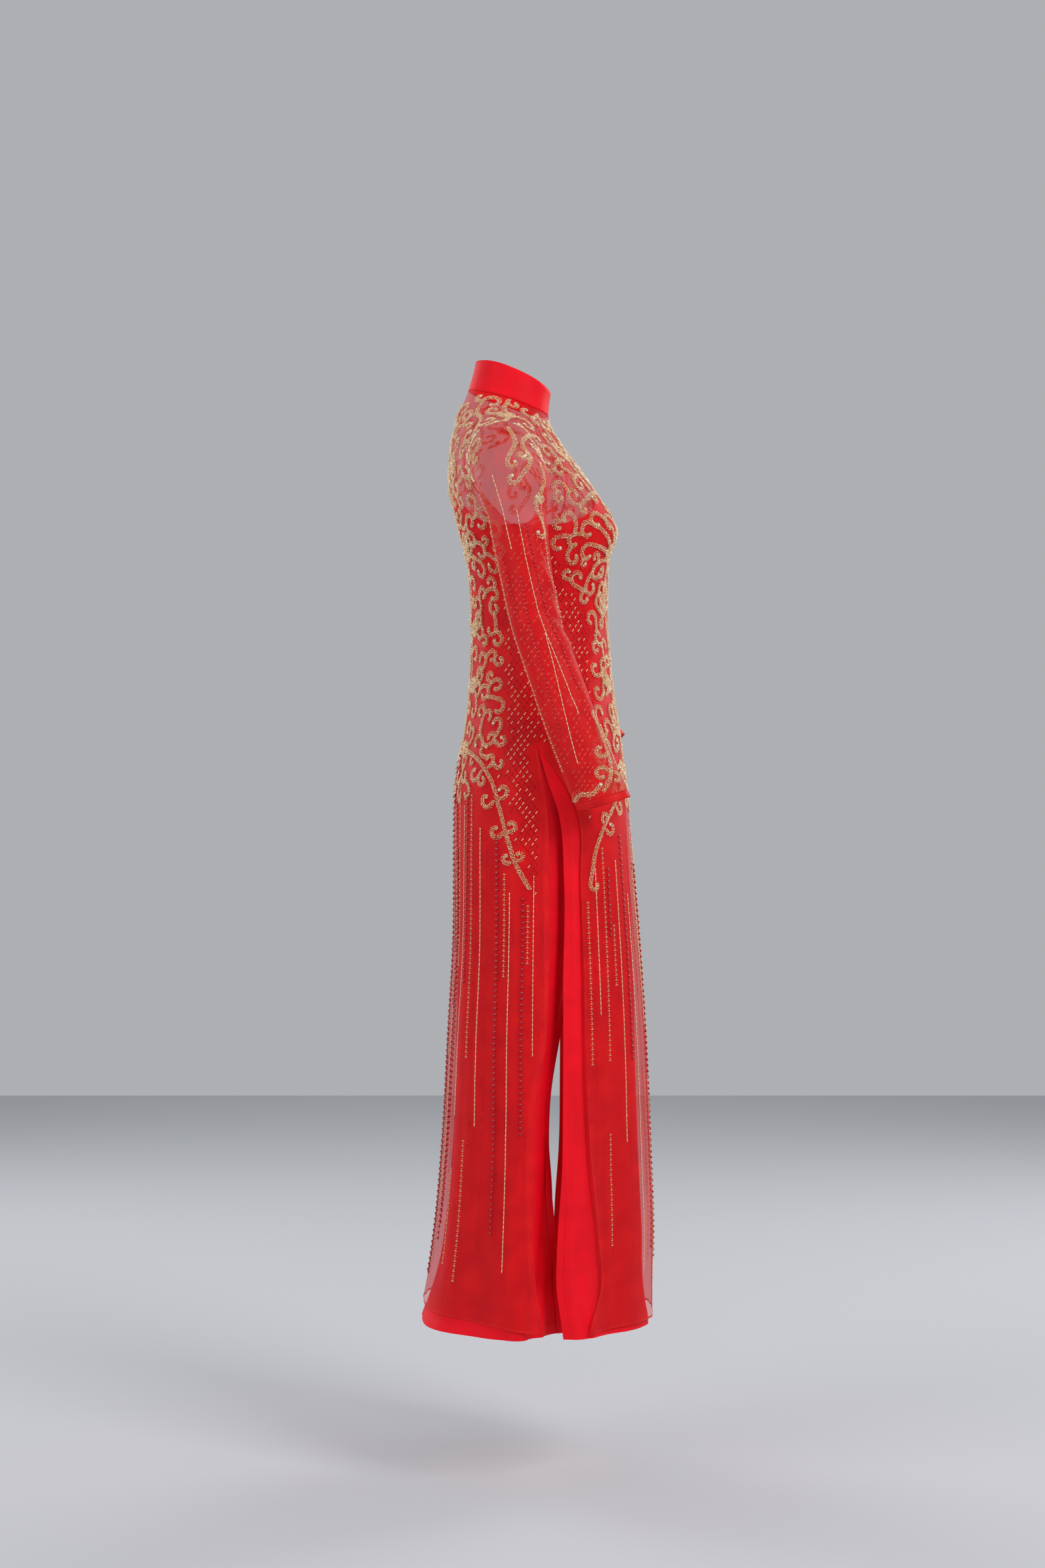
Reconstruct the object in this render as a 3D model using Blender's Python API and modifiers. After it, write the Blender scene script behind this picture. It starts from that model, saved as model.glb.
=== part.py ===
"""A worn ao dai tunic, hollow: stand collar, raglan sleeves, long front and back panels split at the
sides, and the red underlayer that shows through the sheer tulle and past its edges.

Metres, +Z up, the front faces -Y and the wearer's left is +X. The origin is the middle of the neck seam,
where the wearer's neck and shoulders hold the tunic up.
"""

import math

import bpy
import numpy as np

# Driving sizes
TULLE = 0.0010
UNDER = 0.0010
SEAM_GAP = 0.0003
SLIT_TOP_Z = -0.476
LOWEST_Z = -1.267
HEM_Z = {"front_tulle": -1.257, "back_tulle": -1.243, "front_under": LOWEST_Z, "back_under": LOWEST_Z}
CORNER_DROP = {"front_tulle": 0.004, "back_tulle": 0.017, "front_under": 0.0, "back_under": 0.0}
UNDER_INSET = 0.0021
STRAPLESS_FRONT_Z = -0.140
STRAPLESS_BACK_Z = -0.147
STRAPLESS_SIDE_Z = -0.181
STRAPLESS_DIP_X = 0.085
STRAPLESS_DIP_POWER = 1.5
STRAPLESS_ROWS = (0.0, 0.34, 0.68)
SWEETHEART_RISE = 0.012
SWEETHEART_SPREAD = 0.038
BUST_Z = -0.181
BUST_X = 0.072
BUST_LIFT = 0.013
BUST_SPREAD = 0.046
NECK_TILT_BACK = 0.283
NECK_TILT_FRONT = 0.36
COLLAR_WALL = 0.0016
COLLAR_BACK_TOP = 0.056
COLLAR_FRONT_DROP = 0.044
COLLAR_DROP_POWER = 1.65
COLLAR_LEAN = 0.20
COLLAR_TAPER = 0.10
COLLAR_CLEARANCE = 0.0001
CUFF_WIDTH = 0.010
CUFF_SLANT = 0.13
CUFF_SLANT_FROM = 0.80
SEAM_NECK_ANGLE = math.radians(62)
SEAM_PLANE_SHIFT = 0.012
SEAM_PLANE_LEAN = 0.12
SHOULDER_MELT = 0.030
ARMPIT_MELT = 0.016
UNDERARM_SEARCH_X = (0.132, 0.162)
UNDERARM_SEARCH_Y = (-0.045, 0.030)
UNDERARM_SEARCH_Z = -0.100
YOKE_START_Y = -0.030
SIDE_Y = -0.038
TURN_IN_FROM_Y = -0.016
HANG_POWER = 1.5
QUARTER_ROUND = 0.27

# How finely the walls are cut
PANEL_COLUMNS = 27
PANEL_CROWD = 0.6
BODICE_ROWS = 9
BODICE_DROP = 0.012
SLEEVE_COLUMNS = 20
SLEEVE_ROWS = 10
SLEEVE_DROP = 0.008
CAP_CROWD_TOP = 0.5
CAP_CROWD_LOW = 0.2
COLLAR_COLUMNS = 49

# The body of the tunic, a level section for each row: height, half width, centre back, centre front, the
# line of the side seams, and how square the section is (2 is an ellipse).
BODY_COLUMNS = ("z", "half_width", "back", "front", "side", "square")
BODY = (
    (0.060, 0.044, 0.040, -0.062, -0.012, 2.0),
    (0.020, 0.049, 0.052, -0.058, -0.004, 2.0),
    (0.000, 0.055, 0.059, -0.053, 0.002, 2.0),
    (-0.016, 0.067, 0.067, -0.057, 0.004, 2.0),
    (-0.034, 0.086, 0.070, -0.060, 0.002, 2.1),
    (-0.064, 0.118, 0.077, -0.078, -0.008, 2.2),
    (-0.089, 0.132, 0.079, -0.096, -0.014, 2.3),
    (-0.126, 0.138, 0.078, -0.120, -0.022, 2.4),
    (-0.156, 0.139, 0.071, -0.136, -0.028, 2.4),
    (-0.181, 0.138, 0.065, -0.145, -0.032, 2.4),
    (-0.218, 0.132, 0.055, -0.139, -0.036, 2.4),
    (-0.260, 0.121, 0.050, -0.139, -0.038, 2.3),
    (-0.311, 0.115, 0.048, -0.139, -0.040, 2.2),
    (-0.348, 0.118, 0.048, -0.142, -0.041, 2.2),
    (-0.385, 0.127, 0.050, -0.145, -0.041, 2.2),
    (-0.422, 0.139, 0.053, -0.150, -0.041, 2.2),
    (-0.459, 0.151, 0.058, -0.156, -0.041, 2.2),
    (-0.496, 0.162, 0.066, -0.161, -0.040, 2.2),
    (-0.533, 0.169, 0.071, -0.166, -0.039, 2.2),
    (-0.588, 0.172, 0.072, -0.171, -0.038, 2.2),
    (-0.755, 0.174, 0.073, -0.185, -0.036, 2.2),
    (-0.866, 0.176, 0.079, -0.192, -0.035, 2.2),
    (-1.032, 0.181, 0.088, -0.199, -0.034, 2.1),
    (-1.143, 0.185, 0.098, -0.202, -0.034, 2.1),
    (-1.199, 0.187, 0.106, -0.201, -0.034, 2.1),
    (-1.245, 0.190, 0.115, -0.201, -0.034, 2.1),
    (-1.270, 0.190, 0.121, -0.201, -0.034, 2.1),
)

# Below the slits: the height, how far forward each free edge lies (as y), how far the back underlayer's
# edge turns in behind the front one, and how far the underlayer hangs inside the tulle at the back
# and at the front.
SLIT_COLUMNS = (
    "z", "tulle_back", "under_back", "under_front", "tulle_front", "turn_in", "in_back", "in_front"
)
SLIT = (
    (-0.476, -0.0405, -0.0405, -0.0405, -0.0405, 0.000, 0.0000, 0.0000),
    (-0.520, -0.0480, -0.0540, -0.0540, -0.0720, 0.004, 0.0000, 0.0005),
    (-0.566, -0.0550, -0.0800, -0.0700, -0.0945, 0.012, 0.0005, 0.0015),
    (-0.660, -0.0560, -0.0900, -0.0790, -0.0990, 0.016, 0.0030, 0.0045),
    (-0.800, -0.0560, -0.0850, -0.0770, -0.1030, 0.018, 0.0070, 0.0100),
    (-0.870, -0.0530, -0.0740, -0.0770, -0.1040, 0.020, 0.0100, 0.0130),
    (-0.950, -0.0380, -0.0610, -0.0770, -0.1060, 0.024, 0.0120, 0.0150),
    (-1.050, -0.0350, -0.0620, -0.0760, -0.1120, 0.032, 0.0130, 0.0150),
    (-1.140, -0.0360, -0.0660, -0.0700, -0.1240, 0.040, 0.0130, 0.0140),
    (-1.200, -0.0420, -0.0720, -0.0690, -0.1280, 0.046, 0.0110, 0.0120),
    (-1.245, -0.0490, -0.0760, -0.0750, -0.1100, 0.050, 0.0050, 0.0070),
    (-1.270, -0.0500, -0.0780, -0.0780, -0.1080, 0.050, 0.0010, 0.0030),
)

# Each sleeve's middle line and its half sizes front to back and side to side. x is outward from the body.
ARM_COLUMNS = ("x", "y", "z", "half_deep", "half_wide")
SLEEVE_RIGHT = (
    (0.140, 0.004, -0.092, 0.040, 0.040),
    (0.171, -0.009, -0.126, 0.039, 0.037),
    (0.182, -0.013, -0.162, 0.037, 0.035),
    (0.189, -0.019, -0.206, 0.035, 0.034),
    (0.195, -0.028, -0.260, 0.033, 0.032),
    (0.200, -0.041, -0.320, 0.033, 0.031),
    (0.204, -0.060, -0.375, 0.034, 0.031),
    (0.207, -0.078, -0.427, 0.035, 0.031),
    (0.208, -0.103, -0.495, 0.035, 0.029),
    (0.207, -0.130, -0.556, 0.036, 0.027),
)
SLEEVE_LEFT = (
    (0.140, 0.004, -0.092, 0.040, 0.040),
    (0.171, -0.009, -0.126, 0.039, 0.037),
    (0.182, -0.012, -0.162, 0.037, 0.035),
    (0.190, -0.011, -0.206, 0.035, 0.034),
    (0.198, -0.009, -0.258, 0.033, 0.032),
    (0.204, -0.015, -0.312, 0.034, 0.031),
    (0.205, -0.040, -0.359, 0.036, 0.031),
    (0.201, -0.072, -0.398, 0.037, 0.031),
    (0.194, -0.106, -0.437, 0.036, 0.029),
    (0.186, -0.140, -0.476, 0.036, 0.027),
)

# The shoulder, from beside the neck to above the arm: its middle line and half thickness.
SHOULDER_START = np.array((0.020, 0.010, -0.050))
SHOULDER_END = np.array((0.142, 0.004, -0.091))
SHOULDER_RADIUS = 0.041
UPPER_ARM_RADIUS = 0.0425
LOWER_ARM_RADIUS = 0.0365

# Rays towards the sleeve cap leave from these points, from the neck seam (0) to the underarm (1).
CAP_COLUMNS = ("step", "x", "y", "z", "rise")
CAP = (
    (0.00, 0.000, 0.000, 0.000, 0.0),
    (0.20, 0.045, 0.004, -0.035, 38.0),
    (0.40, 0.090, 0.005, -0.062, 62.0),
    (0.60, 0.120, 0.003, -0.083, 54.0),
    (0.80, 0.150, -0.004, -0.114, 30.0),
    (1.00, 0.178, -0.013, -0.164, -6.0),
)

# How far down the raglan seams the rows of the panels and the sleeve caps meet, and how far down the
# slits each row of a skirt panel lies.
RAGLAN_STEPS = (0.0, 0.07, 0.17, 0.29, 0.43, 0.56, 0.67, 0.77, 0.86, 0.94)
SLIT_STEPS = (0.03, 0.08, 0.14, 0.22, 0.32, 0.42, 0.52, 0.63, 0.74, 0.85, 0.93, 1.0)

# Hanging folds, a row for each: the panel, how far round it lies from the panel's middle line (1 is the
# side line), its half width, its depth at the hem (outward is positive), and the height at which it starts.
FOLDS = (
    ("back", 0.30, 0.042, 0.0040, -0.60),
    ("back", 0.62, 0.032, -0.0050, -0.55),
    ("back", 0.90, 0.022, 0.0060, -0.52),
    ("back", 1.10, 0.016, -0.0050, -0.50),
    ("front", 0.26, 0.040, 0.0045, -0.62),
    ("front", 0.55, 0.026, -0.0060, -0.60),
    ("front", 0.72, 0.018, 0.0060, -0.54),
    ("front", 0.88, 0.015, -0.0050, -0.50),
)


def smooth_rows(rows, columns, key, step=0.001):
    """A table's columns drawn as smooth curves over its key column."""
    data = np.array(rows, float)
    k = columns.index(key)
    data = data[np.argsort(data[:, k])]
    x = data[:, k]
    slope = np.gradient(data, x, axis=0)
    at = np.linspace(x[0], x[-1], max(2, int((x[-1] - x[0]) / step) + 1))
    i = np.clip(np.searchsorted(x, at, side="right") - 1, 0, len(x) - 2)
    span = (x[i + 1] - x[i])[:, None]
    u = (at - x[i])[:, None] / span
    value = (
        (2 * u**3 - 3 * u**2 + 1) * data[i]
        + (u**3 - 2 * u**2 + u) * span * slope[i]
        + (3 * u**2 - 2 * u**3) * data[i + 1]
        + (u**3 - u**2) * span * slope[i + 1]
    )
    return {name: (at, value[:, c]) for c, name in enumerate(columns)}


def read(curves, name, at):
    return np.interp(at, *curves[name])


BODY_CURVES = smooth_rows(BODY, BODY_COLUMNS, "z")
SLIT_CURVES = smooth_rows(SLIT, SLIT_COLUMNS, "z")
CAP_CURVES = smooth_rows(CAP, CAP_COLUMNS, "step", 0.005)


def soft_min(a, b, melt):
    share = np.clip(0.5 + 0.5 * (b - a) / melt, 0, 1)
    return b * (1 - share) + a * share - melt * share * (1 - share)


def smooth_step(value):
    value = np.clip(value, 0, 1)
    return value * value * (3 - 2 * value)


def cups(x, z):
    """How far the two bust darts lift the front."""
    spread = ((np.abs(x) - BUST_X) ** 2 + (z - BUST_Z) ** 2) / BUST_SPREAD**2
    return BUST_LIFT * np.exp(-spread)


def body_depth(points):
    """About how far each point lies outside the body's sections, without the arms."""
    x, y, z = points[..., 0], points[..., 1], points[..., 2]
    dy = y - read(BODY_CURVES, "side", z)
    deep = np.where(
        dy > 0,
        read(BODY_CURVES, "back", z) - read(BODY_CURVES, "side", z),
        read(BODY_CURVES, "side", z) - read(BODY_CURVES, "front", z) + cups(x, z),
    )
    square = read(BODY_CURVES, "square", z)
    share = (
        (np.abs(x) / read(BODY_CURVES, "half_width", z)) ** square + (np.abs(dy) / deep) ** square + 1e-12
    ) ** (1 / square)
    return np.hypot(x, dy) * (1 - 1 / share)


def capsule(points, start, end, radius):
    """Distance from a round-ended bar."""
    along = end - start
    share = np.clip((points - start) @ along / (along @ along), 0, 1)
    return np.linalg.norm(points - start - share[..., None] * along, axis=-1) - radius


def outside(points):
    """About how far each point lies outside the outer face of body, shoulders and upper arms together."""
    points = points * 1.0
    points[..., 0] = np.abs(points[..., 0])
    arm = np.array(SLEEVE_RIGHT)
    upper = capsule(points, arm[0, :3], arm[1, :3], UPPER_ARM_RADIUS)
    lower = capsule(points, arm[1, :3], arm[3, :3], LOWER_ARM_RADIUS)
    shoulder = capsule(points, SHOULDER_START, SHOULDER_END, SHOULDER_RADIUS)
    body = soft_min(body_depth(points), shoulder, SHOULDER_MELT)
    return soft_min(body, soft_min(upper, lower, SHOULDER_MELT), ARMPIT_MELT)


def first_exit(starts, directions, reach=0.30, steps=150, halvings=24):
    """Where rays from inside first leave the outer face."""
    directions = directions / np.linalg.norm(directions, axis=-1, keepdims=True)
    low = np.zeros(directions.shape[:-1])
    high = np.full(low.shape, reach)
    found = np.zeros(low.shape, bool)
    for distance in np.linspace(0, reach, steps):
        here = outside(starts + directions * distance) > 0
        fresh = here & ~found
        high = np.where(fresh, distance, high)
        low = np.where(found | fresh, low, distance)
        found |= here
    for _ in range(halvings):
        middle = (low + high) / 2
        out = outside(starts + directions * middle[..., None]) > 0
        high = np.where(out, middle, high)
        low = np.where(out, low, middle)
    return starts + directions * high[..., None]


def neck_point(angle):
    """A point of the neck seam. The angle is 0 at centre front and pi at centre back."""
    angle = np.asarray(angle, float)
    forward = np.cos(angle)
    tilt = np.where(forward > 0, NECK_TILT_FRONT, NECK_TILT_BACK)
    directions = np.stack([np.sin(angle), -forward, -tilt * forward], axis=-1)
    return first_exit(np.zeros(3) + 0 * directions, directions)


def underarm():
    """The low point of the left armhole, where the side seam and the sleeve's own seam meet."""
    ridge = []
    for y in np.linspace(*UNDERARM_SEARCH_Y, 26):
        starts = np.array([(x, y, UNDERARM_SEARCH_Z) for x in np.linspace(*UNDERARM_SEARCH_X, 31)])
        ends = first_exit(starts, np.array(((0.0, 0.0, -1.0),)) + 0 * starts)
        ridge.append(ends[np.argmax(ends[:, 2])])
    ridge = np.array(ridge)
    return ridge[np.argmin(ridge[:, 2])]


UNDERARM = underarm()


def raglan(front, steps):
    """The left raglan seam from the neck to the underarm, cut by one flat plane."""
    angle = SEAM_NECK_ANGLE if front else math.pi - SEAM_NECK_ANGLE
    neck = neck_point([angle])[0]
    towards = -1.0 if front else 1.0
    middle = neck * 0.5 + UNDERARM * 0.5 + np.array((-1.0, -towards, 0.0)) * SEAM_PLANE_SHIFT
    side = np.array((SEAM_PLANE_LEAN, towards, 0.0))
    a, b = neck - middle, UNDERARM - middle
    axis = np.cross(a / np.linalg.norm(a), side)
    axis /= np.linalg.norm(axis)
    first = a / np.linalg.norm(a)
    second = np.cross(axis, first)
    turn_b = math.atan2(b @ second, b @ first) % (2 * math.pi)
    turns = np.linspace(0, turn_b, steps)
    flat = (b - (b @ first) * first - (b @ second) * second) @ axis
    directions = np.cos(turns)[:, None] * first + np.sin(turns)[:, None] * second
    lift = smooth_step(turns / turn_b)[:, None] * axis * flat / np.linalg.norm(b)
    line = first_exit(middle + 0 * directions, directions + lift)
    line[0], line[-1] = neck, UNDERARM
    return line


def even(line, shares):
    """The points at these shares of a line's length."""
    along = np.concatenate([[0], np.cumsum(np.linalg.norm(np.diff(line, axis=0), axis=1))])
    return np.stack([np.interp(np.asarray(shares) * along[-1], along, line[:, k]) for k in range(3)], axis=1)


def trimmed(line, gap=SEAM_GAP / 2):
    """A line with half a seam gap taken off each end."""
    long = np.linalg.norm(np.diff(line, axis=0), axis=1).sum()
    return even(line, np.linspace(gap / long, 1 - gap / long, len(line)))


RAGLAN_FRONT = even(raglan(True, 160), np.linspace(0, 1, 161))
RAGLAN_BACK = even(raglan(False, 160), np.linspace(0, 1, 161))


def yoke_row(front, share, samples=121):
    """One row of a panel above the underarm, from the right raglan seam over the middle to the left one."""
    seam = even(RAGLAN_FRONT if front else RAGLAN_BACK, [share])[0]
    start = np.array((0.0, share * YOKE_START_Y, share * UNDERARM[2]))
    away = seam - start
    flat = math.hypot(away[0], away[1])
    edge = math.atan2(away[0], -away[1] if front else away[1])
    edge_slope = away[2] / flat
    middle_slope = (1 - share) * (-NECK_TILT_FRONT if front else NECK_TILT_BACK)
    angles = np.linspace(-edge, edge, samples)
    part = (np.cos(angles) - math.cos(edge)) / (1 - math.cos(edge))
    slope = edge_slope + (middle_slope - edge_slope) * part
    towards = -np.cos(angles) if front else np.cos(angles)
    directions = np.stack([np.sin(angles), towards, slope], axis=-1)
    line = first_exit(start + 0 * directions, directions)
    line[-1] = seam
    line[0] = seam * (-1, 1, 1)
    return line


def ring_point(turn, z):
    """A point of a level section. turn is 0 at centre back, pi/2 at the left side, pi at centre front."""
    turn = np.asarray(turn, float)
    z = z + 0 * turn
    square = read(BODY_CURVES, "square", z)
    s, c = np.sin(turn), np.cos(turn)
    side = read(BODY_CURVES, "side", z)
    x = read(BODY_CURVES, "half_width", z) * np.sign(s) * np.abs(s) ** (2 / square)
    front_deep = side - read(BODY_CURVES, "front", z) + cups(x, z)
    deep = np.where(c > 0, read(BODY_CURVES, "back", z) - side, front_deep)
    y = side + deep * np.sign(c) * np.abs(c) ** (2 / square)
    return np.stack([x, y, z], axis=-1)


def turn_at(y, z):
    """The turn at which a section's left side has this y."""
    side, square = read(BODY_CURVES, "side", z), read(BODY_CURVES, "square", z)
    deep = (read(BODY_CURVES, "back", z) if y > side else read(BODY_CURVES, "front", z)) - side
    share = min(1.0, abs((y - side) / deep)) ** (square / 2)
    return math.acos(share if y > side else -share)


def body_row(front, z, samples=121):
    """One row of a panel between the underarm and the slit, from side seam to side seam."""
    turns = np.linspace(-1, 1, samples) * math.pi / 2
    return ring_point(math.pi - turns if front else turns, z)


def fold_depth(panel, turn, z):
    """How far the hanging folds push a point out, by its turn from the panel's middle line and its height."""
    total = 0.0 * turn
    for name, place, spread, depth, top in FOLDS:
        if name == panel:
            grown = smooth_step((top - z) / (top - LOWEST_Z))
            away = (np.abs(turn) / (math.pi / 2) - place) * QUARTER_ROUND
            total = total + depth * grown * np.exp(-((away / spread) ** 2))
    return total


def pushed(line, amount):
    """A skirt panel's row moved outward, level, by an amount at each point."""
    tangent = np.gradient(line, axis=0)
    normal = np.stack([-tangent[:, 1], tangent[:, 0], 0 * tangent[:, 0]], axis=-1)
    normal /= np.linalg.norm(normal, axis=1, keepdims=True)
    middle = len(line) // 2
    sign = np.sign(normal[middle, 1] * (line[middle, 1] - SIDE_Y))
    return line + sign * normal * np.asarray(amount)[:, None]


def flap_row(front, under, step, samples=161):
    """One row of a skirt panel below the slit, from its right edge to its left one."""
    panel = "front" if front else "back"
    layer = panel + ("_under" if under else "_tulle")
    z = SLIT_TOP_Z + (HEM_Z[layer] - SLIT_TOP_Z) * step
    edge = turn_at(float(read(SLIT_CURVES, ("under_" if under else "tulle_") + panel, z)), z)
    shares = np.linspace(-1, 1, samples)
    turns = shares * (math.pi - edge if front else edge)
    heights = z - CORNER_DROP[layer] * step**2 * np.abs(shares) ** 3
    line = ring_point(math.pi - turns if front else turns, heights)
    push = fold_depth(panel, turns, heights)
    if under:
        hang = read(SLIT_CURVES, "in_front" if front else "in_back", z)
        push = push - UNDER_INSET - hang * np.abs(np.cos(turns)) ** HANG_POWER
    line = pushed(line, push)
    if under and not front:
        past = smooth_step((TURN_IN_FROM_Y - line[:, 1]) / (TURN_IN_FROM_Y - line[0, 1]))
        line[:, 0] -= np.sign(line[:, 0]) * float(read(SLIT_CURVES, "turn_in", z)) * past
    return line


def columns(count, crowd):
    """Shares of a row's length, closer together towards both of its ends."""
    even_shares = np.linspace(-1, 1, count)
    return 0.5 + 0.5 * ((1 - crowd) * even_shares + crowd * np.sin(even_shares * math.pi / 2))


def cut_rows(rows):
    return np.array([even(trimmed(row), columns(PANEL_COLUMNS, PANEL_CROWD)) for row in rows])


def bodice_rows(front):
    """The outer panel's rows above the slit."""
    rows = [yoke_row(front, step) for step in RAGLAN_STEPS]
    rows += [body_row(front, z) for z in np.linspace(UNDERARM[2] - BODICE_DROP, SLIT_TOP_Z, BODICE_ROWS)]
    return cut_rows(rows)


def skirt_rows(front, under):
    return cut_rows([flap_row(front, under, step) for step in SLIT_STEPS])


def moved_in(points, depth):
    """Points of the outer face moved straight in from it."""
    slopes = []
    for axis in np.eye(3) * 0.0004:
        slopes.append(outside(points + axis) - outside(points - axis))
    normal = np.stack(slopes, axis=-1)
    return points - depth * normal / np.linalg.norm(normal, axis=-1, keepdims=True)


def underlayer_bodice(front):
    """The underlayer's rows above the slit: the outer panel's points below a strapless edge, moved in."""
    outer = bodice_rows(front)
    first = len(RAGLAN_STEPS)
    x = np.abs(outer[first, :, 0])
    middle = STRAPLESS_FRONT_Z if front else STRAPLESS_BACK_Z
    rise = SWEETHEART_RISE if front else 0.0
    top = middle + rise * np.exp(-(((x - BUST_X) / SWEETHEART_SPREAD) ** 2))
    past = smooth_step((x - STRAPLESS_DIP_X) / (x.max() - STRAPLESS_DIP_X))
    top = top + (STRAPLESS_SIDE_Z - top) * past**STRAPLESS_DIP_POWER
    rows = []
    for share in STRAPLESS_ROWS:
        row = []
        for c in range(outer.shape[1]):
            line = outer[: first + 1, c]
            order = np.arange(first + 1)
            start = np.interp(-top[c], -line[:, 2], order)
            place = start + (first - start) * share
            row.append([np.interp(place, order, line[:, k]) for k in range(3)])
        rows.append(row)
    return moved_in(np.concatenate([np.array(rows), outer[first:]]), UNDER_INSET)


def sleeve_cap_row(step, samples=61):
    """One open row of the left sleeve above the underarm, from the front raglan seam over to the back one."""
    if step == 0.0:
        return neck_point(np.linspace(SEAM_NECK_ANGLE, math.pi - SEAM_NECK_ANGLE, samples))
    front, back = even(RAGLAN_FRONT, [step])[0], even(RAGLAN_BACK, [step])[0]
    start = np.array([float(read(CAP_CURVES, axis, step)) for axis in "xyz"])
    rise = math.radians(float(read(CAP_CURVES, "rise", step)))
    out = np.array((math.cos(rise), 0.0, math.sin(rise)))
    forward = np.array((0.0, -1.0, 0.0))
    along = np.cross(out, forward)
    ends = []
    for end in (front, back):
        away = end - start
        a, b, c = away @ out, away @ forward, away @ along
        ends.append((math.atan2(b, a), c / math.hypot(a, b)))
    (front_turn, front_slope), (back_turn, back_slope) = ends
    turns = np.linspace(front_turn, back_turn, samples)
    share = np.where(turns > 0, turns / front_turn, turns / back_turn)
    slope = np.where(turns > 0, front_slope, back_slope) * share ** (1 + min(1.0, 2.5 * step))
    directions = np.cos(turns)[:, None] * out + np.sin(turns)[:, None] * forward + slope[:, None] * along
    line = first_exit(start + 0 * directions, directions)
    line[0], line[-1] = front, back
    return line


def arm_length(table):
    """How far along a sleeve's middle line each row of its table lies."""
    data = np.array(table)
    return np.concatenate([[0], np.cumsum(np.linalg.norm(np.diff(data[:, :3], axis=0), axis=1))])


def arm_ring(table, share, turns):
    """Points round the left sleeve. turn 0 is its outer side, pi/2 its front and pi its inner side."""
    along = arm_length(table)
    rows = np.column_stack([along / along[-1], table])
    curves = smooth_rows(rows, ("share",) + ARM_COLUMNS, "share", 0.005)
    shares = share + np.array((0.0, -0.01, 0.01))
    middle, before, after = np.stack([read(curves, axis, shares) for axis in "xyz"], axis=1)
    ahead = (after - before) / np.linalg.norm(after - before)
    forward = np.array((0.0, -1.0, 0.0)) + ahead[1] * ahead
    forward /= np.linalg.norm(forward)
    outward = np.cross(forward, ahead)
    wide, deep = float(read(curves, "half_wide", share)), float(read(curves, "half_deep", share))
    slant = CUFF_SLANT * smooth_step((share - CUFF_SLANT_FROM) / (1 - CUFF_SLANT_FROM))
    across, along = np.cos(turns)[:, None] * wide, np.sin(turns)[:, None] * deep
    return middle + across * outward + along * (forward + slant * ahead)


def grid_faces(rows, count, first=0, closed=False):
    """Faces between rows of points, from the point number that the first row starts at."""
    faces = []
    for r in range(rows - 1):
        for c in range(count if closed else count - 1):
            a, b = first + r * count + c, first + r * count + (c + 1) % count
            faces.append((a, b, b + count, a + count))
    return faces


def cloth(name, points, faces, wall, outward, colour):
    """A cloth wall: an open surface with a Solidify that thickens it inward."""
    mesh = bpy.data.meshes.new(name)
    mesh.from_pydata([tuple(point) for point in np.reshape(points, (-1, 3))], [], faces)
    mesh.update()
    middle = mesh.polygons[len(faces) // 2]
    if middle.normal.dot(outward(middle.center)) < 0:
        mesh.flip_normals()
    mesh.shade_smooth()
    mesh.materials.append(colour)
    item = bpy.data.objects.new(name, mesh)
    solid = item.modifiers.new("Wall", "SOLIDIFY")
    solid.thickness = wall
    solid.offset = -1.0
    COLLECTION.objects.link(item)
    return item


def dye(name, colour, roughness):
    """A cloth's plain colour."""
    material = bpy.data.materials.new(name)
    material.use_nodes = True
    shader = material.node_tree.nodes["Principled BSDF"]
    shader.inputs["Base Color"].default_value = (*colour, 1.0)
    shader.inputs["Roughness"].default_value = roughness
    shader.inputs["Metallic"].default_value = 0.0
    return material


def from_middle(point):
    """Outward for the panels and the collar, from the body's upright middle line."""
    return point - type(point)((0.0, SIDE_Y, point.z))


def from_arm(table, side):
    """Outward for a sleeve, from the nearest point of its middle line."""
    points = np.array(table)[:, :3] * (side, 1, 1)

    def outward(point):
        nearest = points[np.argmin(np.linalg.norm(points - np.array(point), axis=1))]
        return point - type(point)(nearest)

    return outward


def make_panels(tulle, crepe):
    """The front and back, each a sheer outer panel and the underlayer that hangs inside it."""
    for front in (True, False):
        side = "front" if front else "back"
        outer = np.concatenate([bodice_rows(front), skirt_rows(front, False)])
        cloth(f"{side}_panel", outer, grid_faces(*outer.shape[:2]), TULLE, from_middle, tulle)
        inner = np.concatenate([underlayer_bodice(front), skirt_rows(front, True)])
        cloth(f"{side}_underlayer", inner, grid_faces(*inner.shape[:2]), UNDER, from_middle, crepe)


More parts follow.
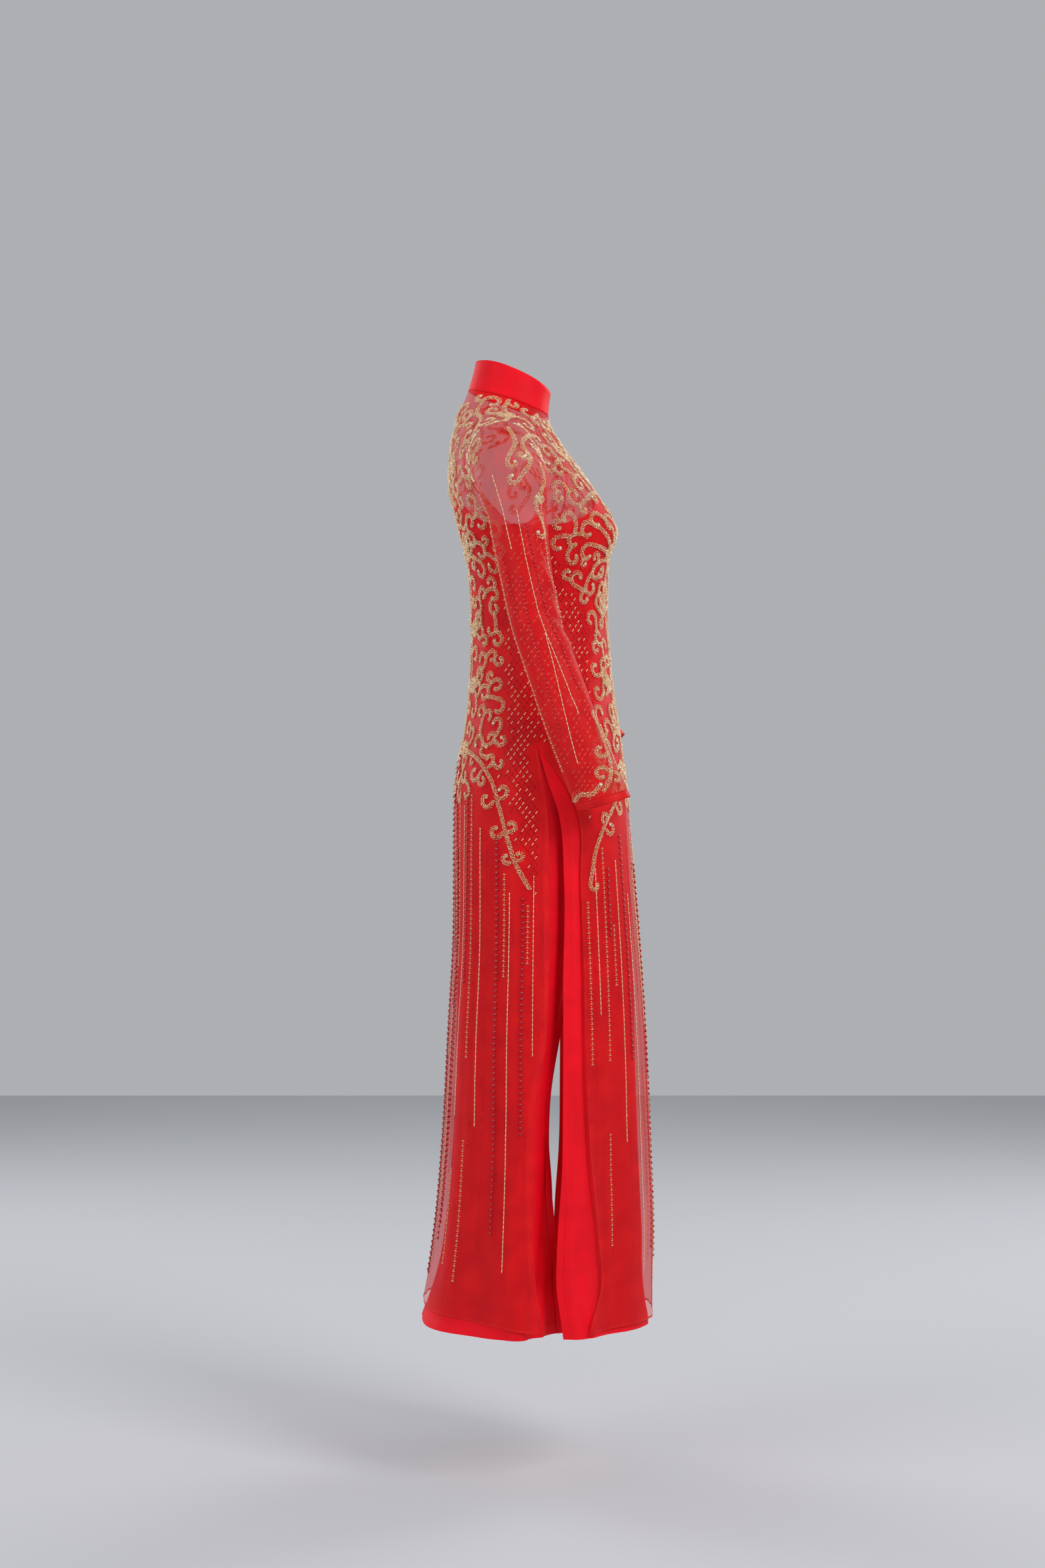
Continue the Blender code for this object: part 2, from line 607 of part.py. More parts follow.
def make_sleeve(side, table, tulle):
    """A raglan sleeve and its wrist band. side is 1 for the wearer's left and -1 for the right."""
    label = "left" if side > 0 else "right"
    count = SLEEVE_COLUMNS
    caps = len(RAGLAN_STEPS)
    rows = []
    for step in RAGLAN_STEPS:
        crowd = CAP_CROWD_TOP + (CAP_CROWD_LOW - CAP_CROWD_TOP) * step
        rows.append(even(trimmed(sleeve_cap_row(step)), columns(count, crowd)))
    long = arm_length(table)[-1]
    heights = [-row[ARM_COLUMNS.index("z")] for row in table]
    start = float(np.interp(-(UNDERARM[2] + SLEEVE_DROP), heights, arm_length(table) / long))
    end = 1 - (CUFF_WIDTH + SEAM_GAP) / long
    turns = np.pi - (np.arange(count) + 0.5) * 2 * np.pi / count
    tube = [arm_ring(table, share, turns) for share in np.linspace(start, end, SLEEVE_ROWS)]
    points = np.concatenate([np.array(rows + tube).reshape(-1, 3), [UNDERARM - (0, 0, SEAM_GAP / 2)]])
    faces = grid_faces(caps + 1, count) + grid_faces(SLEEVE_ROWS, count, caps * count, closed=True)
    last, ring, pit = (caps - 1) * count, caps * count, len(points) - 1
    faces.append((pit, last, ring))
    faces.append((last + count - 1, pit, ring + count - 1))
    faces.append((pit, ring, ring + count - 1))
    outward = from_arm(table, side)
    cloth(f"sleeve_{label}", points * (side, 1, 1), faces, TULLE, outward, tulle)
    band = [arm_ring(table, share, turns) for share in (end + SEAM_GAP / long, 1.0)]
    band_faces = grid_faces(2, count, closed=True)
    cloth(f"wrist_band_{label}", np.array(band) * (side, 1, 1), band_faces, TULLE, outward, tulle)


def make_collar(crepe):
    """The stand collar, closed all but a fine gap at centre back, leaning forward with the neck."""
    gap = SEAM_GAP / 2 / abs(neck_point([math.pi])[0, 1])
    angles = np.linspace(-math.pi + gap, math.pi - gap, COLLAR_COLUMNS)
    base = neck_point(angles) + (0, 0, SEAM_GAP + COLLAR_CLEARANCE)
    top = COLLAR_BACK_TOP - COLLAR_FRONT_DROP * ((1 + np.cos(angles)) / 2) ** COLLAR_DROP_POWER
    rows = []
    for share in (0.0, 0.5, 1.0):
        rise = share * (top - base[:, 2])
        shrink = 1 - COLLAR_TAPER * share * (1 - 0.5 * share)
        y = base[:, 1] * shrink - COLLAR_LEAN * rise
        rows.append(np.stack([base[:, 0] * shrink, y, base[:, 2] + rise], axis=1))
    cloth("collar", np.array(rows), grid_faces(3, COLLAR_COLUMNS), COLLAR_WALL, from_middle, crepe)


for old in list(bpy.data.objects):
    bpy.data.objects.remove(old)
COLLECTION = bpy.data.collections.new("ao_dai_tunic")
bpy.context.scene.collection.children.link(COLLECTION)
TULLE_RED = dye("sheer_tulle", (0.62, 0.012, 0.016), 0.55)
CREPE_RED = dye("red_crepe", (0.80, 0.004, 0.012), 0.60)
make_panels(TULLE_RED, CREPE_RED)
make_sleeve(1, SLEEVE_LEFT, TULLE_RED)
make_sleeve(-1, SLEEVE_RIGHT, TULLE_RED)
make_collar(CREPE_RED)
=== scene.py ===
"""A worn ao dai tunic in red: sheer tulle over crepe, sewn with scrolls, nets and lines of glass beads.

Metres, +Z up. The front faces -Y and the wearer's left is +X. The origin is the middle of the neck seam.
The tables of the tunic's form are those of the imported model's own source.
"""

from __future__ import annotations

import logging
import math
from collections.abc import Callable
from dataclasses import dataclass, field
from enum import Enum

import bpy
import numpy as np
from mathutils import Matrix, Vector
from mathutils.bvhtree import BVHTree

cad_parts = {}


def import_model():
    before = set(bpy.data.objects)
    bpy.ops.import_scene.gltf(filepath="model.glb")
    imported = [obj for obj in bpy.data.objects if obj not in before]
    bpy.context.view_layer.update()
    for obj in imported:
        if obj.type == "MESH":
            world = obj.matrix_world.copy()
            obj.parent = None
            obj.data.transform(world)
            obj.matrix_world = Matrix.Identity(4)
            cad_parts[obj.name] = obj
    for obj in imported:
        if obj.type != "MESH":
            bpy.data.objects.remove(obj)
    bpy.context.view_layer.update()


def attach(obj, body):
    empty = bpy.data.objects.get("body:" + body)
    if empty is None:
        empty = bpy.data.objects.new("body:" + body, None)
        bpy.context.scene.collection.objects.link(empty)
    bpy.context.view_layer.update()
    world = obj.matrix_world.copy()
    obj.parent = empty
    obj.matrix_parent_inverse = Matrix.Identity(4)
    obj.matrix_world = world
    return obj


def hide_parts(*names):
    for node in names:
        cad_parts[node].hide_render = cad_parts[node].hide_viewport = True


LOG = logging.getLogger("ao_dai")

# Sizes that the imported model's source drives
SLIT_TOP_Z = -0.476
LOWEST_Z = -1.267
HEM_Z = {"front_tulle": -1.257, "back_tulle": -1.243, "front_under": LOWEST_Z, "back_under": LOWEST_Z}
CORNER_DROP = {"front_tulle": 0.004, "back_tulle": 0.017, "front_under": 0.0, "back_under": 0.0}
UNDER_INSET = 0.0021
STRAPLESS_FRONT_Z = -0.140
STRAPLESS_BACK_Z = -0.147
STRAPLESS_SIDE_Z = -0.181
STRAPLESS_DIP_X = 0.085
STRAPLESS_DIP_POWER = 1.5
SWEETHEART_RISE = 0.012
SWEETHEART_SPREAD = 0.038
BUST_Z = -0.181
BUST_X = 0.072
BUST_LIFT = 0.013
BUST_SPREAD = 0.046
NECK_TILT_BACK = 0.283
NECK_TILT_FRONT = 0.36
COLLAR_WALL = 0.0016
COLLAR_BACK_TOP = 0.056
COLLAR_FRONT_DROP = 0.044
COLLAR_DROP_POWER = 1.65
COLLAR_LEAN = 0.20
COLLAR_TAPER = 0.10
COLLAR_CLEARANCE = 0.0004
CUFF_WIDTH = 0.010
CUFF_SLANT = 0.13
CUFF_SLANT_FROM = 0.80
SEAM_NECK_ANGLE = math.radians(62)
SEAM_PLANE_SHIFT = 0.012
SEAM_PLANE_LEAN = 0.12
SHOULDER_MELT = 0.030
ARMPIT_MELT = 0.016
UNDERARM_SEARCH_X = (0.132, 0.162)
UNDERARM_SEARCH_Y = (-0.045, 0.030)
UNDERARM_SEARCH_Z = -0.100
YOKE_START_Y = -0.030
SIDE_Y = -0.038
TURN_IN_FROM_Y = -0.016
HANG_POWER = 1.5
QUARTER_ROUND = 0.27

BODY_COLUMNS = ("z", "half_width", "back", "front", "side", "square")
BODY = (
    (0.060, 0.044, 0.040, -0.062, -0.012, 2.0),
    (0.020, 0.049, 0.052, -0.058, -0.004, 2.0),
    (0.000, 0.055, 0.059, -0.053, 0.002, 2.0),
    (-0.016, 0.067, 0.067, -0.057, 0.004, 2.0),
    (-0.034, 0.086, 0.070, -0.060, 0.002, 2.1),
    (-0.064, 0.118, 0.077, -0.078, -0.008, 2.2),
    (-0.089, 0.132, 0.079, -0.096, -0.014, 2.3),
    (-0.126, 0.138, 0.078, -0.120, -0.022, 2.4),
    (-0.156, 0.139, 0.071, -0.136, -0.028, 2.4),
    (-0.181, 0.138, 0.065, -0.145, -0.032, 2.4),
    (-0.218, 0.132, 0.055, -0.139, -0.036, 2.4),
    (-0.260, 0.121, 0.050, -0.139, -0.038, 2.3),
    (-0.311, 0.115, 0.048, -0.139, -0.040, 2.2),
    (-0.348, 0.118, 0.048, -0.142, -0.041, 2.2),
    (-0.385, 0.127, 0.050, -0.145, -0.041, 2.2),
    (-0.422, 0.139, 0.053, -0.150, -0.041, 2.2),
    (-0.459, 0.151, 0.058, -0.156, -0.041, 2.2),
    (-0.496, 0.162, 0.066, -0.161, -0.040, 2.2),
    (-0.533, 0.169, 0.071, -0.166, -0.039, 2.2),
    (-0.588, 0.172, 0.072, -0.171, -0.038, 2.2),
    (-0.755, 0.174, 0.073, -0.185, -0.036, 2.2),
    (-0.866, 0.176, 0.079, -0.192, -0.035, 2.2),
    (-1.032, 0.181, 0.088, -0.199, -0.034, 2.1),
    (-1.143, 0.185, 0.098, -0.202, -0.034, 2.1),
    (-1.199, 0.187, 0.106, -0.201, -0.034, 2.1),
    (-1.245, 0.190, 0.115, -0.201, -0.034, 2.1),
    (-1.270, 0.190, 0.121, -0.201, -0.034, 2.1),
)
SLIT_COLUMNS = (
    "z", "tulle_back", "under_back", "under_front", "tulle_front", "turn_in", "in_back", "in_front"
)
SLIT = (
    (-0.476, -0.0405, -0.0405, -0.0405, -0.0405, 0.000, 0.0000, 0.0000),
    (-0.520, -0.0480, -0.0540, -0.0540, -0.0720, 0.004, 0.0000, 0.0005),
    (-0.566, -0.0550, -0.0800, -0.0700, -0.0945, 0.012, 0.0005, 0.0015),
    (-0.660, -0.0560, -0.0900, -0.0790, -0.0990, 0.016, 0.0030, 0.0045),
    (-0.800, -0.0560, -0.0850, -0.0770, -0.1030, 0.018, 0.0070, 0.0100),
    (-0.870, -0.0530, -0.0740, -0.0770, -0.1040, 0.020, 0.0100, 0.0130),
    (-0.950, -0.0380, -0.0610, -0.0770, -0.1060, 0.024, 0.0120, 0.0150),
    (-1.050, -0.0350, -0.0620, -0.0760, -0.1120, 0.032, 0.0130, 0.0150),
    (-1.140, -0.0360, -0.0660, -0.0700, -0.1240, 0.040, 0.0130, 0.0140),
    (-1.200, -0.0420, -0.0720, -0.0690, -0.1280, 0.046, 0.0110, 0.0120),
    (-1.245, -0.0490, -0.0760, -0.0750, -0.1100, 0.050, 0.0050, 0.0070),
    (-1.270, -0.0500, -0.0780, -0.0780, -0.1080, 0.050, 0.0010, 0.0030),
)
ARM_COLUMNS = ("x", "y", "z", "half_deep", "half_wide")
SLEEVE_RIGHT = (
    (0.140, 0.004, -0.092, 0.040, 0.040),
    (0.171, -0.009, -0.126, 0.039, 0.037),
    (0.182, -0.013, -0.162, 0.037, 0.035),
    (0.189, -0.019, -0.206, 0.035, 0.034),
    (0.195, -0.028, -0.260, 0.033, 0.032),
    (0.200, -0.041, -0.320, 0.033, 0.031),
    (0.204, -0.060, -0.375, 0.034, 0.031),
    (0.207, -0.078, -0.427, 0.035, 0.031),
    (0.208, -0.103, -0.495, 0.035, 0.029),
    (0.207, -0.130, -0.556, 0.036, 0.027),
)
SLEEVE_LEFT = (
    (0.140, 0.004, -0.092, 0.040, 0.040),
    (0.171, -0.009, -0.126, 0.039, 0.037),
    (0.182, -0.012, -0.162, 0.037, 0.035),
    (0.190, -0.011, -0.206, 0.035, 0.034),
    (0.198, -0.009, -0.258, 0.033, 0.032),
    (0.204, -0.015, -0.312, 0.034, 0.031),
    (0.205, -0.040, -0.359, 0.036, 0.031),
    (0.201, -0.072, -0.398, 0.037, 0.031),
    (0.194, -0.106, -0.437, 0.036, 0.029),
    (0.186, -0.140, -0.476, 0.036, 0.027),
)
SHOULDER_START = np.array((0.020, 0.010, -0.050))
SHOULDER_END = np.array((0.142, 0.004, -0.091))
SHOULDER_RADIUS = 0.041
UPPER_ARM_RADIUS = 0.0425
LOWER_ARM_RADIUS = 0.0365
CAP_COLUMNS = ("step", "x", "y", "z", "rise")
CAP = (
    (0.00, 0.000, 0.000, 0.000, 0.0),
    (0.20, 0.045, 0.004, -0.035, 38.0),
    (0.40, 0.090, 0.005, -0.062, 62.0),
    (0.60, 0.120, 0.003, -0.083, 54.0),
    (0.80, 0.150, -0.004, -0.114, 30.0),
    (1.00, 0.178, -0.013, -0.164, -6.0),
)
FOLDS = (
    ("back", 0.30, 0.042, 0.0040, -0.60),
    ("back", 0.62, 0.032, -0.0050, -0.55),
    ("back", 0.90, 0.022, 0.0060, -0.52),
    ("back", 1.10, 0.016, -0.0050, -0.50),
    ("front", 0.26, 0.040, 0.0045, -0.62),
    ("front", 0.55, 0.026, -0.0060, -0.60),
    ("front", 0.72, 0.018, 0.0060, -0.54),
    ("front", 0.88, 0.015, -0.0050, -0.50),
)

# How finely the cloth is drawn
PANEL_COLUMNS = 93
YOKE_ROWS = 38
BODICE_ROWS = 54
SKIRT_ROWS = 104
LAST_YOKE_STEP = 0.985
SLEEVE_COLUMNS = 72
SLEEVE_CAP_ROWS = 36
SLEEVE_TUBE_ROWS = 90
LAST_CAP_STEP = 0.94
COLLAR_COLUMNS = 145
COLLAR_ROWS = 12


def smooth_step(value: object) -> np.ndarray:
    """0 below 0, 1 above 1 and an easy rise between."""
    value = np.clip(value, 0, 1)
    return value * value * (3 - 2 * value)


@dataclass(frozen=True)
class Crease:
    """A soft ridge or trough that runs over a piece of cloth.

    Places are (across, down): metres round from the piece's middle line, + to the wearer's left on a panel
    and to the front on a sleeve, and height z on a panel or metres down from the neck on a sleeve.
    """

    start: tuple[float, float]
    end: tuple[float, float]
    half_width: float
    depth: float
    ease: float = 0.35

    def push(self, across: np.ndarray, down: np.ndarray) -> np.ndarray:
        """How far it moves the cloth outward at each point."""
        ds, dz = self.end[0] - self.start[0], self.end[1] - self.start[1]
        long = ds * ds + dz * dz
        part = ((across - self.start[0]) * ds + (down - self.start[1]) * dz) / long
        away = ((across - self.start[0]) * dz - (down - self.start[1]) * ds) / math.sqrt(long)
        ends = smooth_step(part / self.ease) * smooth_step((1 - part) / self.ease)
        return self.depth * ends * np.exp(-((away / self.half_width) ** 2))


def creases(*rows: tuple[float, ...]) -> tuple[Crease, ...]:
    """Creases from rows of start across, start down, end across, end down, half width, depth and any ease."""
    return tuple(Crease(row[:2], row[2:4], *row[4:]) for row in rows)


class Side(Enum):
    """Which half of the tunic a piece is on, as the wearer has it."""

    RIGHT = -1
    LEFT = 1


class View(Enum):
    """The way in which a guide point is brought onto the cloth, drawn for the wearer's left half.

    A point's two numbers are x and z from the front or back, y and z from the side, and x and y from above.
    """

    FRONT = "front"
    BACK = "back"
    SIDE = "side"
    ABOVE = "above"


class Stitch(Enum):
    """How a straight line of beads is made up."""

    DASH = "gold tubes end to end with a seed between"
    PICOT = "gold seeds with a peak on each side"
    ROUND = "large dark red rounds with a seed between"
    POINTED = "dark red pointed beads end to end"
    SMALL = "small red seeds"


@dataclass(frozen=True)
class Curl:
    """A curl of a fan: the way it first goes, its length, how far it bends on its way and how far it hooks.

    Angles are in degrees from the view's first axis, + towards its second.
    """

    heading: float
    length: float
    bend: float
    hook: float


@dataclass(frozen=True)
class Fan:
    """Curls that spread from one place."""

    view: View
    a: float
    b: float
    curls: tuple[Curl, ...]


def fan(view: View, a: float, b: float, *curls: tuple[float, float, float, float]) -> Fan:
    """A fan from rows of heading, length, bend and hook."""
    return Fan(view, a, b, tuple(Curl(*curl) for curl in curls))


@dataclass(frozen=True)
class Stem:
    """A main stem of the gold scroll work, through guide points, and how far its end hooks."""

    view: View
    points: tuple[tuple[float, float], ...]
    hook: float = 0.0


@dataclass(frozen=True)
class Line:
    """A straight line of beads. Places are degrees round from the middle of the piece; ends are heights."""

    front: bool
    turn: float
    top: float
    bottom: float
    stitch: Stitch


@dataclass(frozen=True)
class SleeveLine:
    """A line of beads on a sleeve, by shares of the arm's length and degrees round from its outer side."""

    start: float
    start_turn: float
    end: float
    end_turn: float
    stitch: Stitch


# Creases of the bodice, pressed into both layers. Across is + to the wearer's left; heights are z.
BODICE_CREASES = {
    "front": creases(
        (0.088, -0.238, 0.172, -0.214, 0.007, 0.0014),
        (0.092, -0.264, 0.176, -0.262, 0.006, -0.0011),
        (-0.084, -0.242, -0.166, -0.226, 0.008, 0.0013),
        (-0.096, -0.272, -0.172, -0.286, 0.006, -0.0011),
        (0.056, -0.338, 0.158, -0.330, 0.006, 0.0011),
        (-0.048, -0.346, -0.156, -0.342, 0.007, 0.0011),
        (0.100, -0.440, 0.206, -0.464, 0.009, 0.0013),
        (-0.108, -0.430, -0.204, -0.470, 0.008, -0.0012),
    ),
    "back": creases(
        (-0.084, -0.298, 0.052, -0.306, 0.006, 0.0012),
        (-0.034, -0.326, 0.104, -0.332, 0.006, -0.0011),
        (0.024, -0.352, -0.116, -0.346, 0.007, 0.0012),
        (0.096, -0.202, 0.176, -0.240, 0.007, 0.0013),
        (-0.102, -0.206, -0.170, -0.236, 0.008, 0.0012),
        (0.086, -0.420, 0.176, -0.462, 0.009, 0.0012),
        (-0.092, -0.426, -0.178, -0.456, 0.008, 0.0012),
        (0.0, 0.020, 0.0, -0.460, 0.0035, 0.0010, 0.1),
    ),
}
# Folds of the skirt, the same way. They run out below the hem.
SKIRT_CREASES = {
    "front": creases(
        (-0.196, -0.520, -0.208, -1.420, 0.010, 0.0026),
        (-0.132, -0.500, -0.140, -1.360, 0.012, -0.0022),
        (-0.072, -0.560, -0.060, -1.450, 0.011, 0.0031),
        (-0.012, -0.500, 0.004, -1.200, 0.014, -0.0020),
        (0.050, -0.540, 0.064, -1.440, 0.012, 0.0028),
        (0.118, -0.520, 0.132, -1.340, 0.010, -0.0024),
        (0.178, -0.560, 0.192, -1.430, 0.011, 0.0027),
        (0.222, -0.640, 0.238, -1.380, 0.008, -0.0018),
    ),
    "back": creases(
        (-0.236, -0.600, -0.262, -1.420, 0.010, 0.0024),
        (-0.178, -0.520, -0.188, -1.400, 0.012, -0.0024),
        (-0.108, -0.540, -0.122, -1.440, 0.010, 0.0032),
        (-0.044, -0.560, -0.040, -1.300, 0.013, -0.0022),
        (0.026, -0.500, 0.018, -1.440, 0.012, 0.0030),
        (0.092, -0.560, 0.104, -1.380, 0.011, -0.0026),
        (0.160, -0.530, 0.150, -1.450, 0.010, 0.0028),
        (0.228, -0.600, 0.252, -1.420, 0.012, 0.0022),
    ),
}
# Creases of the sheer layer alone, which only lift it, and of the opaque one alone, which only sink it
TULLE_CREASES = {
    "front": creases(
        (-0.164, -0.700, -0.170, -1.430, 0.006, 0.0022),
        (0.020, -0.780, 0.032, -1.440, 0.006, 0.0024),
        (0.150, -0.820, 0.160, -1.420, 0.006, 0.0020),
    ),
    "back": creases(
        (-0.146, -0.720, -0.154, -1.430, 0.006, 0.0024),
        (0.060, -0.680, 0.062, -1.430, 0.007, 0.0022),
        (0.196, -0.760, 0.204, -1.440, 0.006, 0.0022),
    ),
}
CREPE_CREASES = {
    "front": creases(
        (-0.201, -0.520, -0.204, -1.430, 0.0065, -0.0042, 0.2),
        (-0.208, -0.760, -0.226, -1.440, 0.0060, 0.0034, 0.2),
        (0.200, -0.520, 0.207, -1.430, 0.0070, -0.0044, 0.2),
        (0.209, -0.800, 0.224, -1.400, 0.0055, 0.0032, 0.2),
    ),
    "back": creases(
        (-0.264, -0.560, -0.282, -1.420, 0.008, -0.0050, 0.2),
        (-0.274, -0.640, -0.304, -1.440, 0.006, 0.0038, 0.2),
        (-0.224, -0.700, -0.232, -1.360, 0.008, -0.0034, 0.2),
        (0.260, -0.560, 0.280, -1.420, 0.008, -0.0048, 0.2),
        (0.272, -0.600, 0.300, -1.440, 0.006, 0.0036, 0.2),
        (0.218, -0.640, 0.226, -1.300, 0.008, -0.0032, 0.2),
    ),
}
# Creases of a sleeve. Across is - to the front; down is metres from the neck along the sleeve.
SLEEVE_CREASES = creases(
    (-0.060, 0.150, -0.066, 0.430, 0.0075, 0.0042),
    (-0.078, 0.362, 0.012, 0.312, 0.0060, 0.0024),
    (-0.082, 0.378, 0.022, 0.402, 0.0070, -0.0022),
    (-0.070, 0.346, -0.008, 0.268, 0.0060, -0.0018),
    (-0.062, 0.392, 0.002, 0.456, 0.0060, 0.0020),
    (-0.020, 0.140, -0.030, 0.304, 0.0080, 0.0018),
    (0.032, 0.122, 0.036, 0.334, 0.0090, -0.0020),
    (0.064, 0.198, 0.052, 0.424, 0.0080, 0.0022),
    (0.088, 0.260, 0.078, 0.480, 0.0070, -0.0018),
    (-0.032, 0.520, 0.044, 0.548, 0.0050, 0.0015),
    (0.024, 0.498, -0.052, 0.532, 0.0050, -0.0013),
)

# The gold scroll work's main stems and fans, of this part's own layout, drawn for the wearer's left half
STEMS = (
    Stem(View.FRONT, ((0.006, -0.120), (0.020, -0.150), (0.036, -0.188), (0.050, -0.222), (0.048, -0.256),
                      (0.038, -0.292), (0.028, -0.326), (0.030, -0.360), (0.037, -0.394), (0.034, -0.430),
                      (0.032, -0.464), (0.042, -0.505), (0.040, -0.534), (0.026, -0.556)), -230),
    Stem(View.FRONT, ((0.004, -0.190), (0.014, -0.214), (0.018, -0.240), (0.012, -0.264)), -230),
    Stem(View.FRONT, ((0.003, -0.280), (0.010, -0.304), (0.014, -0.330), (0.010, -0.352)), -230),
    Stem(View.FRONT, ((0.003, -0.372), (0.012, -0.396), (0.016, -0.424), (0.010, -0.446)), -230),
    Stem(View.FRONT, ((0.004, -0.462), (0.014, -0.484), (0.018, -0.508)), -220),
    Stem(View.FRONT, ((0.042, -0.505), (0.070, -0.528), (0.100, -0.552), (0.128, -0.584), (0.144, -0.618),
                      (0.151, -0.654)), -200),
    Stem(View.FRONT, ((0.012, -0.024), (0.026, -0.050), (0.040, -0.078), (0.046, -0.104), (0.036, -0.130),
                      (0.020, -0.150)), 0),
    Stem(View.FRONT, ((0.052, -0.022), (0.066, -0.046), (0.076, -0.074), (0.083, -0.102), (0.080, -0.132)), 220),
    Stem(View.FRONT, ((0.032, -0.140), (0.060, -0.132), (0.088, -0.136), (0.110, -0.148)), -230),
    Stem(View.ABOVE, ((0.058, -0.004), (0.076, 0.003), (0.096, -0.004), (0.118, 0.002)), 230),
    Stem(View.ABOVE, ((0.050, 0.030), (0.066, 0.040), (0.086, 0.034), (0.108, 0.042)), -230),
    Stem(View.SIDE, ((-0.032, -0.060), (-0.022, -0.082), (-0.032, -0.104), (-0.020, -0.124)), 220),
    Stem(View.SIDE, ((-0.002, -0.054), (-0.012, -0.076), (-0.004, -0.098)), -220),
    Stem(View.SIDE, ((-0.044, -0.104), (-0.050, -0.132), (-0.038, -0.158), (-0.044, -0.186)), 200),
    Stem(View.BACK, ((0.012, -0.004), (0.026, -0.034), (0.038, -0.066), (0.042, -0.100), (0.034, -0.134),
                     (0.026, -0.170), (0.032, -0.206), (0.038, -0.240), (0.032, -0.275), (0.026, -0.308),
                     (0.032, -0.340), (0.038, -0.375), (0.032, -0.410), (0.030, -0.445), (0.042, -0.480)), 0),
    Stem(View.BACK, ((0.005, -0.040), (0.012, -0.066), (0.018, -0.094), (0.013, -0.118)), -230),
    Stem(View.BACK, ((0.004, -0.136), (0.012, -0.160), (0.014, -0.186), (0.009, -0.206)), -220),
    Stem(View.BACK, ((0.004, -0.226), (0.012, -0.252), (0.015, -0.278), (0.010, -0.298)), -220),
    Stem(View.BACK, ((0.004, -0.318), (0.012, -0.344), (0.014, -0.370), (0.009, -0.390)), -220),
    Stem(View.BACK, ((0.004, -0.408), (0.013, -0.432), (0.016, -0.458), (0.010, -0.484)), -220),
    Stem(View.SIDE, ((0.054, -0.482), (0.034, -0.500), (0.018, -0.528), (0.008, -0.564), (-0.002, -0.602),
                     (-0.014, -0.638), (-0.031, -0.668)), 0),
)
